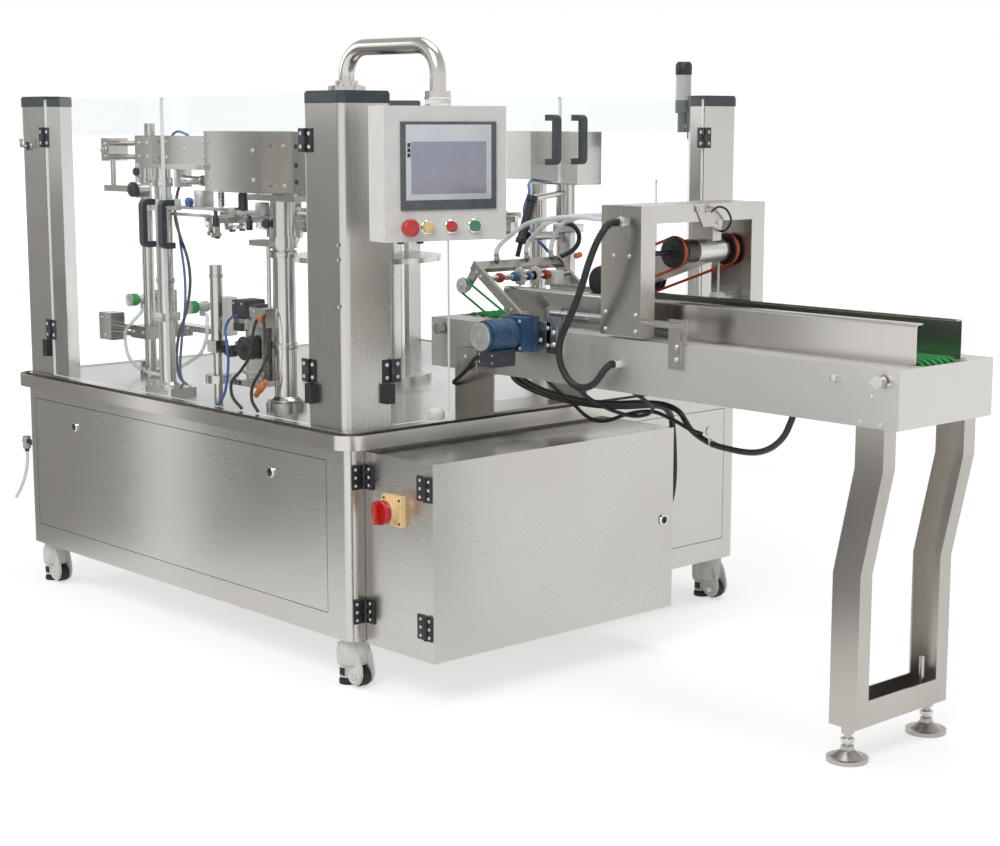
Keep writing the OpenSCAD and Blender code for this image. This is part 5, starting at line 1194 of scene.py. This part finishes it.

# Cable tie on the tail cable, pad on the table edge
tie = turned(560, 611, 591, (0.87, -0.42, -0.05), [(0, 7.4), (0, 8.6), (5, 8.6), (5, 7.4)], 24)
fit("cable_tie", [tie, block(556, 564, 602, 607, 596, 603, 1.0)], "machine", white_nylon)
pad = turned(-5, 268, 619, (0, 0, 1), [(0, 20), (18, 20), (26, 15), (29, 8)], 36, 0.6)
fit("table_edge_pad", pad, "machine", white_nylon)

# Steel hook on the left post; air inlet's body
hook = [
    rod([(-1440, 4.2, 1250), (-1440, -20, 1250), (-1440, -20, 1265)], 4.7, False),
    turned(-1440, 4.2, 1250, (0, -1, 0), [(0, 12.4), (3.4, 12.4), (4.2, 11.6)], 32),
    turned(-1440, -20, 1264, (0, 0, 1), [(0, 4.7), (2, 5.4), (5, 5.4), (7, 3.5)], 20, 0.4),
]
fit("post_hook", hook, "machine", bright_steel)
inlet = [
    turned(-1550, 20, 379.7, (0, 0, 1), [(0, 10), (1.5, 11.6), (34, 11.6), (36.6, 10)], 28, 0.4),
    turned(-1557, 20, 402, (-1, 0, 0), [(0, 8.6), (7, 8.6), (8.6, 7)], 24, 0.3),
]
fit("inlet_body", inlet, "machine", device_grey)

# Fixed linkage between the front columns, under the top covers
bars = [
    block(-864, -583, 97, 105, 1093, 1102, 0.8),
    block(-865, -694, 97, 105, 1075, 1083, 0.8),
    block(-600, -568, 92, 112, 1080, 1104, 1.5),
    block(-584, -462, 98, 106, 1086, 1098, 0.8),
    block(-482, -458, 92, 118, 1086, 1120, 1.5),
    block(-752, -708, 92, 124, 1100, 1143, 2.0),
    rod([(-715, 101, 1079), (-715, 101, 1058), (-708, 101, 1052)], 2.4, False),
    turned(-641, 101, 1098, (0, 0, 1), [(0, 5), (56, 5)], 16),
]
fit("linkage_bars", bars, "machine", milled_aluminium)
coil = turned(-641, 101, 1104, (0, 0, 1), [(0, 6)] + [(2 + 4 * k, 7 + 2 * (k % 2)) for k in range(10)] + [(42, 6)], 18)
fit("linkage_spring", coil, "machine", bright_steel)
dark = [
    turned(-547, 102, 1098, (0, 0, 1), [(0, 9), (0, 12), (40, 12), (44, 9), (50, 8)], 24, 0.6),
    turned(-668, 101, 1053, (0, 0, 1), [(0, 8), (24, 8), (24, 5), (42, 5)], 20, 0.6),
    turned(-521, 102, 1050, (0, 0, 1), [(0, 8), (26, 8), (26, 5), (40, 5)], 20, 0.6),
    turned(-450, 111, 1069, (0, -1, 0), [(0, 9), (4, 12), (13, 12), (16, 9)], 12, 0.8),
]
fit("linkage_cylinders", dark, "machine", black_nylon)
knob = turned(-779, 97, 1112, (0, -1, 0), [(-6, 10), (0, 12), (8, 12), (10, 9)], 24, 0.6)
stem = turned(-779, 101, 1098, (0, 0, 1), [(0, 5), (14, 5)], 16)
fit("linkage_knob", [knob, stem], "machine", blue_tube)
